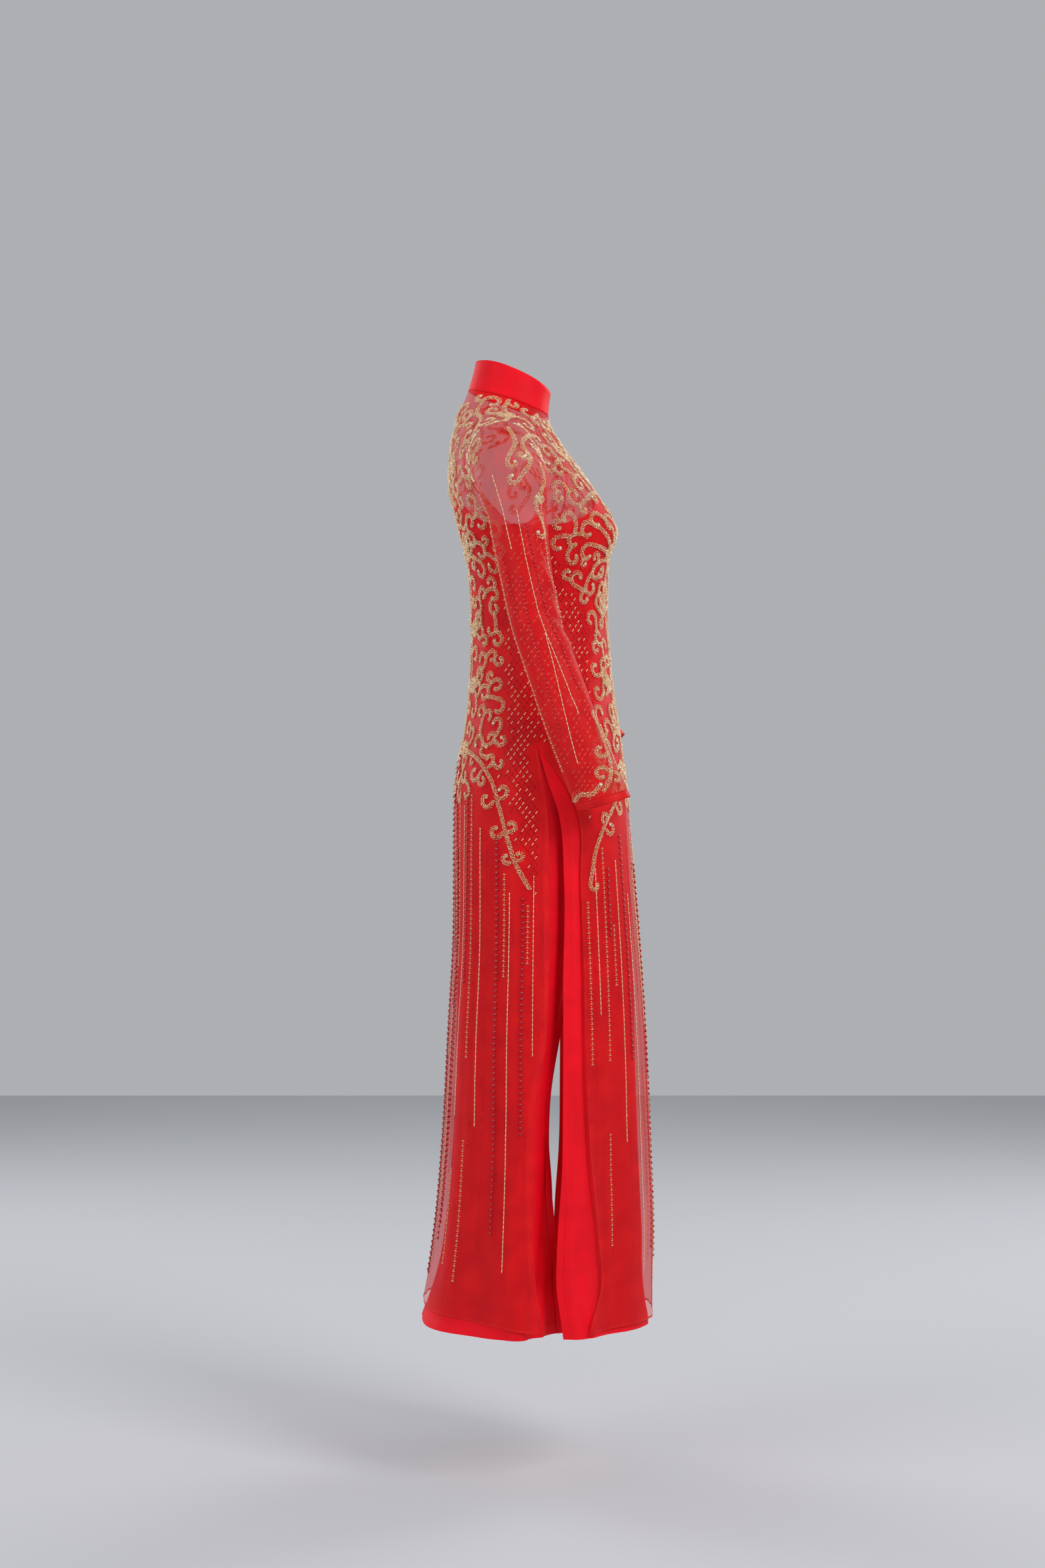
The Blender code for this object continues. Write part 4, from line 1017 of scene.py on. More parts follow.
class Cloth:
    """A piece of cloth as a grid of points whose outer side is known."""

    def __init__(self, points: np.ndarray, outward: np.ndarray, closed: bool = False) -> None:
        """Keeps the grid.

        Args:
            points: Rows of points.
            outward: About which way the grid's middle point faces.
            closed: True where the first and last columns meet.
        """
        self.points = points
        self.closed = closed
        normal = self._crossed()
        r, c = points.shape[0] // 2, points.shape[1] // 2
        self.sign = 1.0 if normal[r, c] @ outward > 0 else -1.0

    def _crossed(self) -> np.ndarray:
        """The unit normals before their sign is settled."""
        down = np.gradient(self.points, axis=0)
        across = np.gradient(self.points, axis=1)
        if self.closed:
            seam = self.points[:, 1] - self.points[:, -2]
            across[:, 0] = across[:, -1] = seam / 2
        normal = np.cross(across, down)
        return normal / np.maximum(np.linalg.norm(normal, axis=-1, keepdims=True), 1e-12)

    def normals(self) -> np.ndarray:
        """The unit normal of the outer side at each point."""
        return self._crossed() * self.sign

    def across(self) -> np.ndarray:
        """How far round each point lies from its row's middle, in metres."""
        step = np.linalg.norm(np.diff(self.points, axis=1), axis=2)
        along = np.concatenate([np.zeros((len(step), 1)), np.cumsum(step, axis=1)], axis=1)
        return along - along[:, self.points.shape[1] // 2][:, None]

    def down(self) -> np.ndarray:
        """How far down its own column each point lies, in metres."""
        step = np.linalg.norm(np.diff(self.points, axis=0), axis=2)
        return np.concatenate([np.zeros((1, step.shape[1])), np.cumsum(step, axis=0)], axis=0)

    def push(self, amount: np.ndarray) -> None:
        """Moves the points along their normals."""
        self.points = self.points + self.normals() * amount[..., None]

    def crease(self, creases: tuple[Crease, ...], down: np.ndarray) -> None:
        """Presses creases into the cloth."""
        across = self.across()
        self.push(sum((c.push(across, down) for c in creases), np.zeros(across.shape)))

    def faces(self) -> np.ndarray:
        """The grid's quads, facing outward."""
        rows, count = self.points.shape[:2]
        index = np.arange(rows * count).reshape(rows, count)
        if self.closed:
            index[:, -1] = index[:, 0]
        quads = np.stack([index[:-1, :-1], index[:-1, 1:], index[1:, 1:], index[1:, :-1]], axis=-1).reshape(-1, 4)
        return quads if self.sign > 0 else quads[:, ::-1]

    def mirrored(self) -> Cloth:
        """The same cloth on the wearer's other side."""
        twin = Cloth.__new__(Cloth)
        twin.points = self.points * (-1, 1, 1)
        twin.closed = self.closed
        twin.sign = -self.sign
        return twin


@dataclass
class Thread:
    """A line on the cloth that beads are sewn along."""

    points: np.ndarray
    normals: np.ndarray
    half: float = SCROLL_HALF
    tip: bool = False

    def spaced(self, pitch: float) -> tuple[np.ndarray, np.ndarray, np.ndarray, np.ndarray]:
        """Evenly spaced places along it.

        Args:
            pitch: About how far apart they lie.

        Returns:
            Their points, normals, tangents and distances along the line.
        """
        along = np.concatenate([[0], np.cumsum(np.linalg.norm(np.diff(self.points, axis=0), axis=1))])
        at = np.linspace(0, along[-1], max(2, int(along[-1] / pitch) + 1))
        points, normals = (
            np.stack([np.interp(at, along, value[:, k]) for k in range(3)], axis=1)
            for value in (self.points, self.normals)
        )
        return points, unit(normals), unit(np.gradient(points, axis=0)), at


def unit(rows: np.ndarray) -> np.ndarray:
    """The rows as vectors of length 1."""
    return rows / np.maximum(np.linalg.norm(rows, axis=-1, keepdims=True), 1e-9)


class Skin:
    """The outer side of some cloth, for beads to be sewn to."""

    def __init__(self, cloths: list[Cloth]) -> None:
        """Joins the cloths in one search tree."""
        points, faces = [], []
        for cloth in cloths:
            faces += (cloth.faces() + len(points)).tolist()
            points += cloth.points.reshape(-1, 3).tolist()
        self.points = np.array(points)
        self.tree = BVHTree.FromPolygons(points, faces)

    def seen(self, view: View, a: float, b: float) -> Vector:
        """The first point of the cloth at a place as seen from the front, back, left side or above."""
        far = 0.7
        start, way = {
            View.FRONT: ((a, -far, b), (0, 1, 0)),
            View.BACK: ((a, far, b), (0, -1, 0)),
            View.SIDE: ((far, a, b), (-1, 0, 0)),
            View.ABOVE: ((a, b, far), (0, 0, -1)),
        }[view]
        place, _, _, _ = self.tree.ray_cast(Vector(start), Vector(way))
        if place is None:
            raise ValueError(f"no cloth at {view.value} {a}, {b}")
        return place

    def lay(self, points: np.ndarray) -> Thread:
        """A line of points brought onto the nearest cloth."""
        found = [self.tree.find_nearest(Vector(point)) for point in points]
        return Thread(np.array([hit[0] for hit in found]), np.array([hit[1] for hit in found]))

    def run(self, guide: np.ndarray, step: float = 0.002) -> Thread:
        """A smooth line on the cloth through guide points."""
        along = np.concatenate([[0], np.cumsum(np.linalg.norm(np.diff(guide, axis=0), axis=1))])
        rows = Curves.through(np.column_stack([along, guide]), ("along", "x", "y", "z"), "along", step)
        return self.lay(rows.values[:, 1:])

    def walk(self, start: Vector, heading: Vector, turns: np.ndarray, step: float) -> Thread:
        """A line that leaves a point over the cloth and turns as it goes.

        Args:
            start: Where it starts.
            heading: The way it first goes.
            turns: How far it turns at each step, in radians, + to the left as seen from outside.
            step: How long each step is.

        Returns:
            The line.
        """
        place, normal, _, _ = self.tree.find_nearest(start)
        way = (heading - normal * heading.dot(normal)).normalized()
        places, normals = [place], [normal]
        for turn in turns:
            way = way * math.cos(turn) + normal.cross(way) * math.sin(turn)
            place, normal, _, _ = self.tree.find_nearest(place + way * step)
            way = (way - normal * way.dot(normal)).normalized()
            places.append(place)
            normals.append(normal)
        return Thread(np.array(places), np.array(normals))


class Room:
    """Which parts of the cloth lines of beads already take up."""

    def __init__(self, cell: float = 0.002) -> None:
        """Starts empty, with cells of this size."""
        self.cell = cell
        self.taken: set[int] = set()

    def _cells(self, points: np.ndarray) -> np.ndarray:
        """The number of the cell that each point lies in."""
        at = np.rint(points / self.cell).astype(np.int64) + 1024
        return (at[..., 0] << 22) | (at[..., 1] << 11) | at[..., 2]

    def mark(self, points: np.ndarray, radius: float) -> None:
        """Takes up the space round a line."""
        reach = int(radius / self.cell) + 1
        span = np.arange(-reach, reach + 1)
        ball = np.stack(np.meshgrid(span, span, span), axis=-1).reshape(-1, 3) * self.cell
        ball = ball[np.linalg.norm(ball, axis=1) <= radius]
        self.taken.update(self._cells(points[:, None] + ball[None]).ravel().tolist())

    def free(self, points: np.ndarray) -> np.ndarray:
        """True for each point that lies in free space."""
        return np.array([cell not in self.taken for cell in self._cells(points).tolist()])


@dataclass(frozen=True)
class Growth:
    """A round of curls that fill what room is left. Lengths are in metres, angles in degrees."""

    length: tuple[float, float]
    half: float = SCROLL_HALF
    room: float = SCROLL_ROOM
    tries: int = 6
    lean: tuple[float, float] = (22, 62)
    bend: tuple[float, float] = (10, 70)
    hook: tuple[float, float] = (190, 260)


@dataclass
class Scrolls:
    """Gold scroll work: stems and fans laid from given points, and curls grown from them into what room is left."""

    skin: Skin
    allowed: Callable[[np.ndarray], np.ndarray]
    seed: int
    step: float = 0.002
    threads: list[Thread] = field(default_factory=list)
    room: Room = field(default_factory=Room)

    def __post_init__(self) -> None:
        """Starts the random draws."""
        self.draw = np.random.default_rng(self.seed)

    def add(self, thread: Thread, room: float = SCROLL_ROOM) -> Thread:
        """Keeps a line and takes up the space round it."""
        self.threads.append(thread)
        self.room.mark(thread.points, room)
        return thread

    def turns(self, length: float, bend: float, hook: float) -> np.ndarray:
        """How far a curl turns at each step, in radians, from degrees of bend and hook."""
        tight = float(np.interp(length, *zip(*HOOK_RADIUS)))
        count = max(5, int(length / self.step))
        curve = min(int(math.radians(abs(hook)) * tight * 1.4 / self.step) + 1, int(count * 0.75))
        turns = np.full(count, math.radians(bend) / max(1, count - curve))
        rise = np.linspace(0.5, 1.0, curve)
        turns[count - curve :] = math.radians(hook) * rise / rise.sum()
        return turns

    def plant(self, stem: Stem) -> None:
        """Lays a stem."""
        guide = np.array([self.skin.seen(stem.view, a, b) for a, b in stem.points])
        thread = self.skin.run(guide, self.step)
        if stem.hook:
            sign = -1 if stem.view is View.BACK else 1
            turns = self.turns(0.030, 0, sign * stem.hook)
            way = Vector(thread.points[-1] - thread.points[-3])
            hooked = self.skin.walk(Vector(thread.points[-1]), way, turns, self.step)
            thread = Thread(
                np.concatenate([thread.points[:-1], hooked.points]),
                np.concatenate([thread.normals[:-1], hooked.normals]),
                tip=True,
            )
        self.add(thread)

    def spread(self, fan: Fan) -> None:
        """Lays the curls of a fan."""
        sign = -1 if fan.view is View.BACK else 1
        start = self.skin.seen(fan.view, fan.a, fan.b)
        for curl in fan.curls:
            angle = math.radians(curl.heading)
            a, b = math.cos(angle), math.sin(angle)
            heading = {View.SIDE: (0, a, b), View.ABOVE: (a, b, 0)}.get(fan.view, (a, 0, b))
            turns = self.turns(curl.length, sign * curl.bend, sign * curl.hook)
            thread = self._cleared(self.skin.walk(start, Vector(heading), turns, self.step))
            thread.tip = True
            self.add(thread)

    def _cleared(self, thread: Thread, gap: float = 0.0036) -> Thread:
        """A curl without the part of its start that would lie on lines already there, so none piles up."""
        others = np.concatenate([other.points for other in self.threads])
        start = thread.points[: len(thread.points) // 2]
        away = np.linalg.norm(start[:, None] - others[None], axis=2).min(axis=1)
        first = int(np.argmax(away > gap))
        return Thread(thread.points[first:], thread.normals[first:])

    def fill(self, places: np.ndarray, growth: Growth) -> int:
        """Grows curls towards places that nothing has filled, each from the nearest line.

        Args:
            places: Points of the cloth to fill.
            growth: The curls' sizes.

        Returns:
            How many found room.
        """
        known = grown = 0
        for place in self.draw.permutation(places[self.allowed(places)]):
            if not self.room.free(place[None])[0]:
                continue
            if known < len(self.threads):
                known = len(self.threads)
                counts = [len(thread.points) for thread in self.threads]
                points = np.concatenate([thread.points for thread in self.threads])
                owner = np.repeat(np.arange(known), counts)
                first = np.repeat(np.cumsum([0, *counts[:-1]]), counts)
            nearest = int(np.argmin(((points - place) ** 2).sum(axis=1)))
            grown += self._reach(place, self.threads[owner[nearest]], nearest - int(first[nearest]), growth)
        return grown

    def _reach(self, place: np.ndarray, parent: Thread, nearest: int, growth: Growth) -> bool:
        """Tries to grow a curl from about a point of a line towards a place."""
        for _ in range(growth.tries):
            at = min(max(nearest + int(self.draw.integers(-7, 8)), 1), len(parent.points) - 2)
            normal = Vector(parent.normals[at])
            way = Vector(parent.points[at + 1] - parent.points[at - 1]) * (1 if self.draw.random() < 0.5 else -1)
            side = 1 if Vector(place - parent.points[at]).dot(normal.cross(way)) > 0 else -1
            turn = side if self.draw.random() < 0.75 else -side
            ranges = (growth.lean, growth.bend, growth.hook)
            lean, bend, hook = (math.radians(self.draw.uniform(*pair)) for pair in ranges)
            heading = way * math.cos(side * lean) + normal.cross(way) * math.sin(side * lean)
            length = self.draw.uniform(*growth.length)
            turns = self.turns(length, turn * math.degrees(bend), turn * math.degrees(hook))
            curl = self.skin.walk(Vector(parent.points[at]), heading, turns, self.step)
            rest = curl.points[int(growth.room * 1.6 / self.step) :]
            if len(rest) > 2 and self.room.free(rest).all() and self.allowed(curl.points).all():
                curl.half, curl.tip = growth.half, True
                self.add(curl, growth.room)
                return True
        return False


class Cut(Enum):
    """How a bead is cut."""

    SEED = "a small seed with six facets"
    FACETED = "a bead with eight facets"
    TUBE = "a four-sided tube"
    ROUND = "a flat round with facets"


def bead_shape(cut: Cut) -> tuple[np.ndarray, np.ndarray]:
    """The points of a bead 2 long, wide and high, and its triangles.

    Args:
        cut: How it is cut.

    Returns:
        The points and the triangles.
    """
    if cut is Cut.SEED:
        ring = [(0, math.cos(turn), math.sin(turn)) for turn in (math.pi / 2, math.pi * 7 / 6, math.pi * 11 / 6)]
        faces = [(0, 2, 3), (0, 3, 4), (0, 4, 2), (1, 3, 2), (1, 4, 3), (1, 2, 4)]
        return np.array([(1, 0, 0), (-1, 0, 0), *ring], float), np.array(faces)
    if cut is Cut.FACETED:
        points = [(1, 0, 0), (-1, 0, 0), (0, 1, 0), (0, -1, 0), (0, 0, 1), (0, 0, -1)]
        faces = [(0, 2, 4), (2, 1, 4), (1, 3, 4), (3, 0, 4), (2, 0, 5), (1, 2, 5), (3, 1, 5), (0, 3, 5)]
        return np.array(points, float), np.array(faces)
    tube = cut is Cut.TUBE
    sides, shoulder = (4, 0.86) if tube else (7, 0.25)
    points, faces = [], []
    for end in (-1, 1):
        for k in range(sides):
            turn = 2 * math.pi * (k + 0.5) / sides
            a, b = math.cos(turn), math.sin(turn)
            points.append((end * shoulder, a, b) if tube else (a, b, end * shoulder))
    points += [(-1, 0, 0), (1, 0, 0)] if tube else [(0, 0, -1), (0, 0, 1)]
    low, top = len(points) - 2, len(points) - 1
    for k in range(sides):
        after = (k + 1) % sides
        faces += [(k, after, sides + after), (k, sides + after, sides + k)]
        faces += [(low, after, k), (top, sides + k, sides + after)]
    return np.array(points, float), np.array(faces)


@dataclass
class Tray:
    """Beads of one kind, gathered to be made as one piece."""

    name: str
    cut: Cut
    finish: bpy.types.Material
    slot: str
    rows: list[np.ndarray] = field(default_factory=list)

    def put(self, centre: np.ndarray, axis: np.ndarray, normal: np.ndarray, size: object) -> None:
        """Adds beads.

        Args:
            centre: Their middles.
            axis: The way that each one's length lies.
            normal: About which way each one's height stands.
            size: Their length, width and height, for all or for each.
        """
        if len(centre):
            size = np.broadcast_to(np.asarray(size, float), centre.shape)
            self.rows.append(np.concatenate([centre, axis, normal, size / 2], axis=1))

    def make(self) -> None:
        """Makes the piece, or nothing for an empty tray."""
        if not self.rows:
            return
        data = np.concatenate(self.rows)
        axis = unit(data[:, 3:6])
        side = unit(np.cross(data[:, 6:9], axis))
        frame = np.stack([axis, side, np.cross(axis, side)], axis=1) * data[:, 9:12, None]
        points, faces = bead_shape(self.cut)
        places = data[:, None, :3] + np.einsum("pk,nkj->npj", points, frame)
        index = faces[None] + (np.arange(len(data)) * len(points))[:, None, None]
        made = mesh_object(self.name, places.reshape(-1, 3), index.reshape(-1, 3), self.finish)
        registered(made)


@dataclass
class Sewing:
    """The beads of one part of the tunic, sewn along threads."""

    part: str
    glass: dict[str, bpy.types.Material]
    seed: int

    def __post_init__(self) -> None:
        """Sets out the trays."""
        self.draw = np.random.default_rng(self.seed)
        kinds = {
            "gold": (Cut.SEED, "gold", "gold_bead"),
            "pale": (Cut.SEED, "pale", "gold_bead"),
            "deep": (Cut.SEED, "deep", "gold_bead"),
            "tube": (Cut.TUBE, "gold", "gold_bead"),
            "red": (Cut.FACETED, "red", "red_bead"),
            "knot": (Cut.FACETED, "dark_red", "red_bead"),
            "round": (Cut.ROUND, "dark_red", "red_bead"),
            "stone": (Cut.ROUND, "clear", "crystal"),
        }
        self.trays = {
            key: Tray(f"{key}_beads_{self.part}", cut, self.glass[finish], slot)
            for key, (cut, finish, slot) in kinds.items()
        }

    def spread(self, share: dict[str, float], centre: np.ndarray, axis: np.ndarray, normal: np.ndarray,
               size: np.ndarray) -> None:
        """Deals beads out over some trays at random."""
        pick = self.draw.random(len(centre))
        low = 0.0
        for key, part in share.items():
            chosen = (pick >= low) & (pick < low + part)
            self.trays[key].put(centre[chosen], axis[chosen], normal[chosen], size[chosen])
            low += part

    def scroll(self, thread: Thread) -> None:
        """Sews a scroll: seeds packed three across at all angles, and a knot of them at a free tip."""
        points, normals, tangents, at = thread.spaced(SCROLL_PITCH)
        sides = unit(np.cross(normals, tangents))
        left = at[-1] - at
        taper = np.clip(0.62 + at / 0.010, 0, 1) * np.clip(0.72 + left / 0.014, 0, 1)
        count = max(2, round(thread.half * 2 / 0.00165) + 1)
        lanes = np.linspace(-1, 1, count)
        for lane in lanes:
            jitter = self.draw.normal(0, 0.00032, (len(points), 2))
            centre = points + sides * (lane * thread.half * taper + jitter[:, 0])[:, None]
            centre = centre + tangents * (jitter[:, 1] + self.draw.uniform(0, SCROLL_PITCH))[:, None]
            lift = 0.0006 + 0.0006 * (1 - lane * lane) + self.draw.uniform(0, 0.0004, len(points))
            self._seeds(centre + normals * lift[:, None], tangents, sides, normals)
        if thread.tip:
            self._knot(points[-1], normals[-1], tangents[-1], sides[-1])

    def _seeds(self, centre: np.ndarray, tangents: np.ndarray, sides: np.ndarray, normals: np.ndarray) -> None:
        """Sews gold seeds of three tones at random angles."""
        angle = self.draw.uniform(-1.3, 1.3, len(centre))[:, None]
        tilt = self.draw.normal(0, 0.35, (len(centre), 2))
        axis = tangents * np.cos(angle) + sides * np.sin(angle) + normals * tilt[:, :1]
        up = normals + sides * tilt[:, 1:]
        size = np.array(SEED) * self.draw.uniform(0.88, 1.12, (len(centre), 1))
        self.spread({"gold": 0.60, "pale": 0.26, "deep": 0.13}, centre, axis, up, size)

    def _knot(self, point: np.ndarray, normal: np.ndarray, tangent: np.ndarray, side: np.ndarray) -> None:
        """Sews the round knot that ends a scroll."""
        turns = np.linspace(0, 2 * math.pi, 7)[:-1]
        ring = np.cos(turns)[:, None] * tangent + np.sin(turns)[:, None] * side
        centre = point + ring * 0.0019 + normal * 0.0009
        up = np.repeat(normal[None], len(ring), axis=0)
        self._seeds(centre, ring, np.cross(up, ring), up)
        if self.draw.random() < 0.30:
            self.trays["stone"].put((point + normal * 0.0017)[None], tangent[None], normal[None], STONE)

    def line(self, thread: Thread, stitch: Stitch) -> None:
        """Sews a straight line of beads."""
        pitch = {Stitch.DASH: 0.0064, Stitch.PICOT: 0.0066, Stitch.ROUND: 0.0078, Stitch.POINTED: 0.0060}
        points, normals, tangents, _ = thread.spaced(pitch.get(stitch, 0.0034))
        sides = unit(np.cross(normals, tangents))
        gap = pitch.get(stitch, 0.0034) / 2
        between = points[:-1] + tangents[:-1] * gap + normals[:-1] * 0.0007
        lift = normals * 0.0007
        if stitch is Stitch.DASH:
            slant = tangents + sides * self.draw.normal(0, 0.05, (len(points), 1))
            self.trays["tube"].put(points + lift, slant, normals, TUBE)
            self.trays["pale"].put(between, tangents[:-1], normals[:-1], SMALL_RED)
        elif stitch is Stitch.PICOT:
            self.trays["gold"].put(points + lift, tangents, normals, SEED)
            self.trays["gold"].put(between, tangents[:-1], normals[:-1], SEED)
            for side in (-1, 1):
                peak = points + lift + sides * side * 0.0018
                self.trays["deep"].put(peak, sides, normals, SEED)
            self.trays["pale"].put(points + lift * 2 - tangents * 0.0012, sides, normals, SEED)
        elif stitch is Stitch.ROUND:
            self.trays["round"].put(points + normals * 0.0013, tangents, normals, LARGE_ROUND)
            self.trays["red"].put(between, tangents[:-1], normals[:-1], SMALL_RED)
        elif stitch is Stitch.POINTED:
            self.trays["red"].put(points + normals * 0.0012, tangents, normals, POINTED_BEAD)
        else:
            self.trays["red"].put(points + lift, tangents, normals, SMALL_RED)

    def make(self) -> None:
        """Makes the pieces."""
        for tray in self.trays.values():
            tray.make()


def linear(colour: str) -> tuple[float, float, float, float]:
    """An sRGB hex colour as linear numbers with full alpha."""
    parts = [int(colour[i : i + 2], 16) / 255 for i in (1, 3, 5)]
    return (*[c / 12.92 if c <= 0.04045 else ((c + 0.055) / 1.055) ** 2.4 for c in parts], 1.0)


def add_node(tree: bpy.types.NodeTree, kind: str, **settings: object) -> bpy.types.Node:
    """Adds a node.

    Args:
        tree: The material's tree.
        kind: The node's type, without the leading "ShaderNode".
        settings: Socket values by name with underscores for spaces, a socket to link from, or, where no
            socket has that name, the node's own properties.

    Returns:
        The node.
    """
    made = tree.nodes.new(f"ShaderNode{kind}")
    for name, value in settings.items():
        if hasattr(made, name) and name.islower():
            setattr(made, name, value)
            continue
        socket = made.inputs[name.replace("_", " ")]
        if isinstance(value, bpy.types.NodeSocket):
            tree.links.new(value, socket)
        else:
            socket.default_value = value
    return made


@dataclass(frozen=True)
class Tulle:
    """Fine nylon net, knitted in six-sided holes: sheer, soft and a little lustrous at a slant."""

    name: str = "nylon_tulle"
    colour: str = "#E8120F"
    deep: str = "#D00210"
    cover: float = 0.50
    roughness: float = 0.55
    # The holes are about 1 mm across; they are drawn at 1.8 mm, to show.
    hole: float = 0.0018

    def material(self) -> bpy.types.Material:
        """The finish as a material."""
        made = bpy.data.materials.new(self.name)
        made.use_nodes = True
        tree = made.node_tree
        shader = tree.nodes["Principled BSDF"]
        place = add_node(tree, "TexCoord")
        net = add_node(
            tree, "TexVoronoi", feature="DISTANCE_TO_EDGE", Vector=place.outputs["UV"], Scale=1 / self.hole
        )
        cloud = add_node(tree, "TexNoise", Vector=place.outputs["Object"], Scale=38.0, Detail=3.0)
        tone = add_node(tree, "ValToRGB", Fac=cloud.outputs["Fac"])
        tone.color_ramp.elements[0].color = linear(self.deep)
        tone.color_ramp.elements[0].position = 0.35
        tone.color_ramp.elements[1].color = linear(self.colour)
        tone.color_ramp.elements[1].position = 0.65
        bump = add_node(tree, "Bump", Height=net.outputs["Distance"], Strength=0.25, Distance=0.0003)
        tree.links.new(tone.outputs["Color"], shader.inputs["Base Color"])
        tree.links.new(bump.outputs["Normal"], shader.inputs["Normal"])
        shader.inputs["Roughness"].default_value = self.roughness
        shader.inputs["Alpha"].default_value = self.cover
        shader.inputs["Specular IOR Level"].default_value = 0.25
        shader.inputs["Sheen Weight"].default_value = 0.08
        shader.inputs["Sheen Roughness"].default_value = 0.4
        shader.inputs["Sheen Tint"].default_value = linear("#FF3020")
        return made


@dataclass(frozen=True)
class Crepe:
    """Plain-woven polyester crepe: an even, saturated red with a dull, pebbly face."""

    name: str = "polyester_crepe"
    colour: str = "#F8001C"
    deep: str = "#E60018"
    roughness: float = 0.62
    # The threads are about 0.3 mm apart; they are drawn at 0.7 mm, to show.
    thread: float = 0.0007

    def material(self) -> bpy.types.Material:
        """The finish as a material."""
        made = bpy.data.materials.new(self.name)
        made.use_nodes = True
        tree = made.node_tree
        shader = tree.nodes["Principled BSDF"]
        place = add_node(tree, "TexCoord")
        scale = 2 * math.pi / 20 / self.thread
        warp, weft = (
            add_node(
                tree, "TexWave", bands_direction=way, Vector=place.outputs["UV"], Scale=scale, Distortion=1.5
            )
            for way in ("X", "Y")
        )
        both = add_node(tree, "Math", operation="MULTIPLY")
        tree.links.new(warp.outputs["Fac"], both.inputs[0])
        tree.links.new(weft.outputs["Fac"], both.inputs[1])
        cloud = add_node(tree, "TexNoise", Vector=place.outputs["Object"], Scale=24.0, Detail=4.0)
        tone = add_node(tree, "ValToRGB", Fac=cloud.outputs["Fac"])
        tone.color_ramp.elements[0].color = linear(self.deep)
        tone.color_ramp.elements[0].position = 0.35
        tone.color_ramp.elements[1].color = linear(self.colour)
        tone.color_ramp.elements[1].position = 0.65
        bump = add_node(tree, "Bump", Height=both.outputs[0], Strength=0.2, Distance=0.0002)
        tree.links.new(tone.outputs["Color"], shader.inputs["Base Color"])
        tree.links.new(bump.outputs["Normal"], shader.inputs["Normal"])
        shader.inputs["Roughness"].default_value = self.roughness
        shader.inputs["Specular IOR Level"].default_value = 0.2
        shader.inputs["Sheen Weight"].default_value = 0.05
        shader.inputs["Sheen Roughness"].default_value = 0.5
        shader.inputs["Sheen Tint"].default_value = linear("#FF2030")
        return made


@dataclass(frozen=True)
class Glass:
    """Small glass beads with a hard, bright glint: silver-lined gold, dark red or clear.

    The silver lining of the gold ones throws light back like metal, so they are drawn half as metal. Each is too
    small to see into, so the red ones are solid in colour, with a thin gloss.
    """

    name: str
    colour: str
    metallic: float = 0.0
    roughness: float = 0.12
    coat: float = 0.0

    def material(self) -> bpy.types.Material:
        """The finish as a material."""
        made = bpy.data.materials.new(self.name)
        made.use_nodes = True
        shader = made.node_tree.nodes["Principled BSDF"]
        shader.inputs["Base Color"].default_value = linear(self.colour)
        shader.inputs["Metallic"].default_value = self.metallic
        shader.inputs["Roughness"].default_value = self.roughness
        shader.inputs["Coat Weight"].default_value = self.coat
        shader.inputs["Coat Roughness"].default_value = 0.05
        if not self.metallic:
            shader.inputs["IOR"].default_value = 1.52
        return made


GLASS = {
    "gold": Glass("silver_lined_gold_glass", "#FBD2A0", 0.5, 0.26),
    "pale": Glass("silver_lined_pale_gold_glass", "#FFF0D8", 0.5, 0.2),
    "deep": Glass("silver_lined_amber_glass", "#E2AA6A", 0.5, 0.3),
    "red": Glass("red_glass", "#C80018", roughness=0.16, coat=0.2),
    "dark_red": Glass("dark_red_glass", "#A80014", roughness=0.18, coat=0.2),
    "clear": Glass("crystal_glass", "#F4EEE8", 0.35, 0.06, 1.0),
}


@dataclass(frozen=True)
class Plain:
    """The pale matt paper of a studio floor."""

    name: str = "studio_paper"
    colour: str = "#C4C6CA"
    roughness: float = 0.9

    def material(self) -> bpy.types.Material:
        """The finish as a material."""
        made = bpy.data.materials.new(self.name)
        made.use_nodes = True
        shader = made.node_tree.nodes["Principled BSDF"]
        shader.inputs["Base Color"].default_value = linear(self.colour)
        shader.inputs["Roughness"].default_value = self.roughness
        return made


def mesh_object(name: str, points: np.ndarray, faces: np.ndarray, finish: bpy.types.Material) -> bpy.types.Object:
    """Makes an object from points and faces that all have the same number of corners."""
    mesh = bpy.data.meshes.new(name)
    corners = faces.shape[1]
    mesh.vertices.add(len(points))
    mesh.vertices.foreach_set("co", np.asarray(points, np.float32).ravel())
    mesh.loops.add(faces.size)
    mesh.loops.foreach_set("vertex_index", np.asarray(faces, np.int32).ravel())
    mesh.polygons.add(len(faces))
    mesh.polygons.foreach_set("loop_start", np.arange(len(faces), dtype=np.int32) * corners)
    mesh.update(calc_edges=True)
    mesh.validate()
    mesh.materials.append(finish)
    made = bpy.data.objects.new(name, mesh)
    bpy.context.scene.collection.objects.link(made)
    return made


def charted(made: bpy.types.Object, chart: np.ndarray) -> None:
    """Gives a cloth piece its UV map, in metres on its cut, and smooth shading."""
    index = np.zeros(len(made.data.loops), np.int32)
    made.data.loops.foreach_get("vertex_index", index)
    made.data.uv_layers.new(name="Cut").uv.foreach_set("vector", chart[index].astype(np.float32).ravel())
    made.data.shade_smooth()


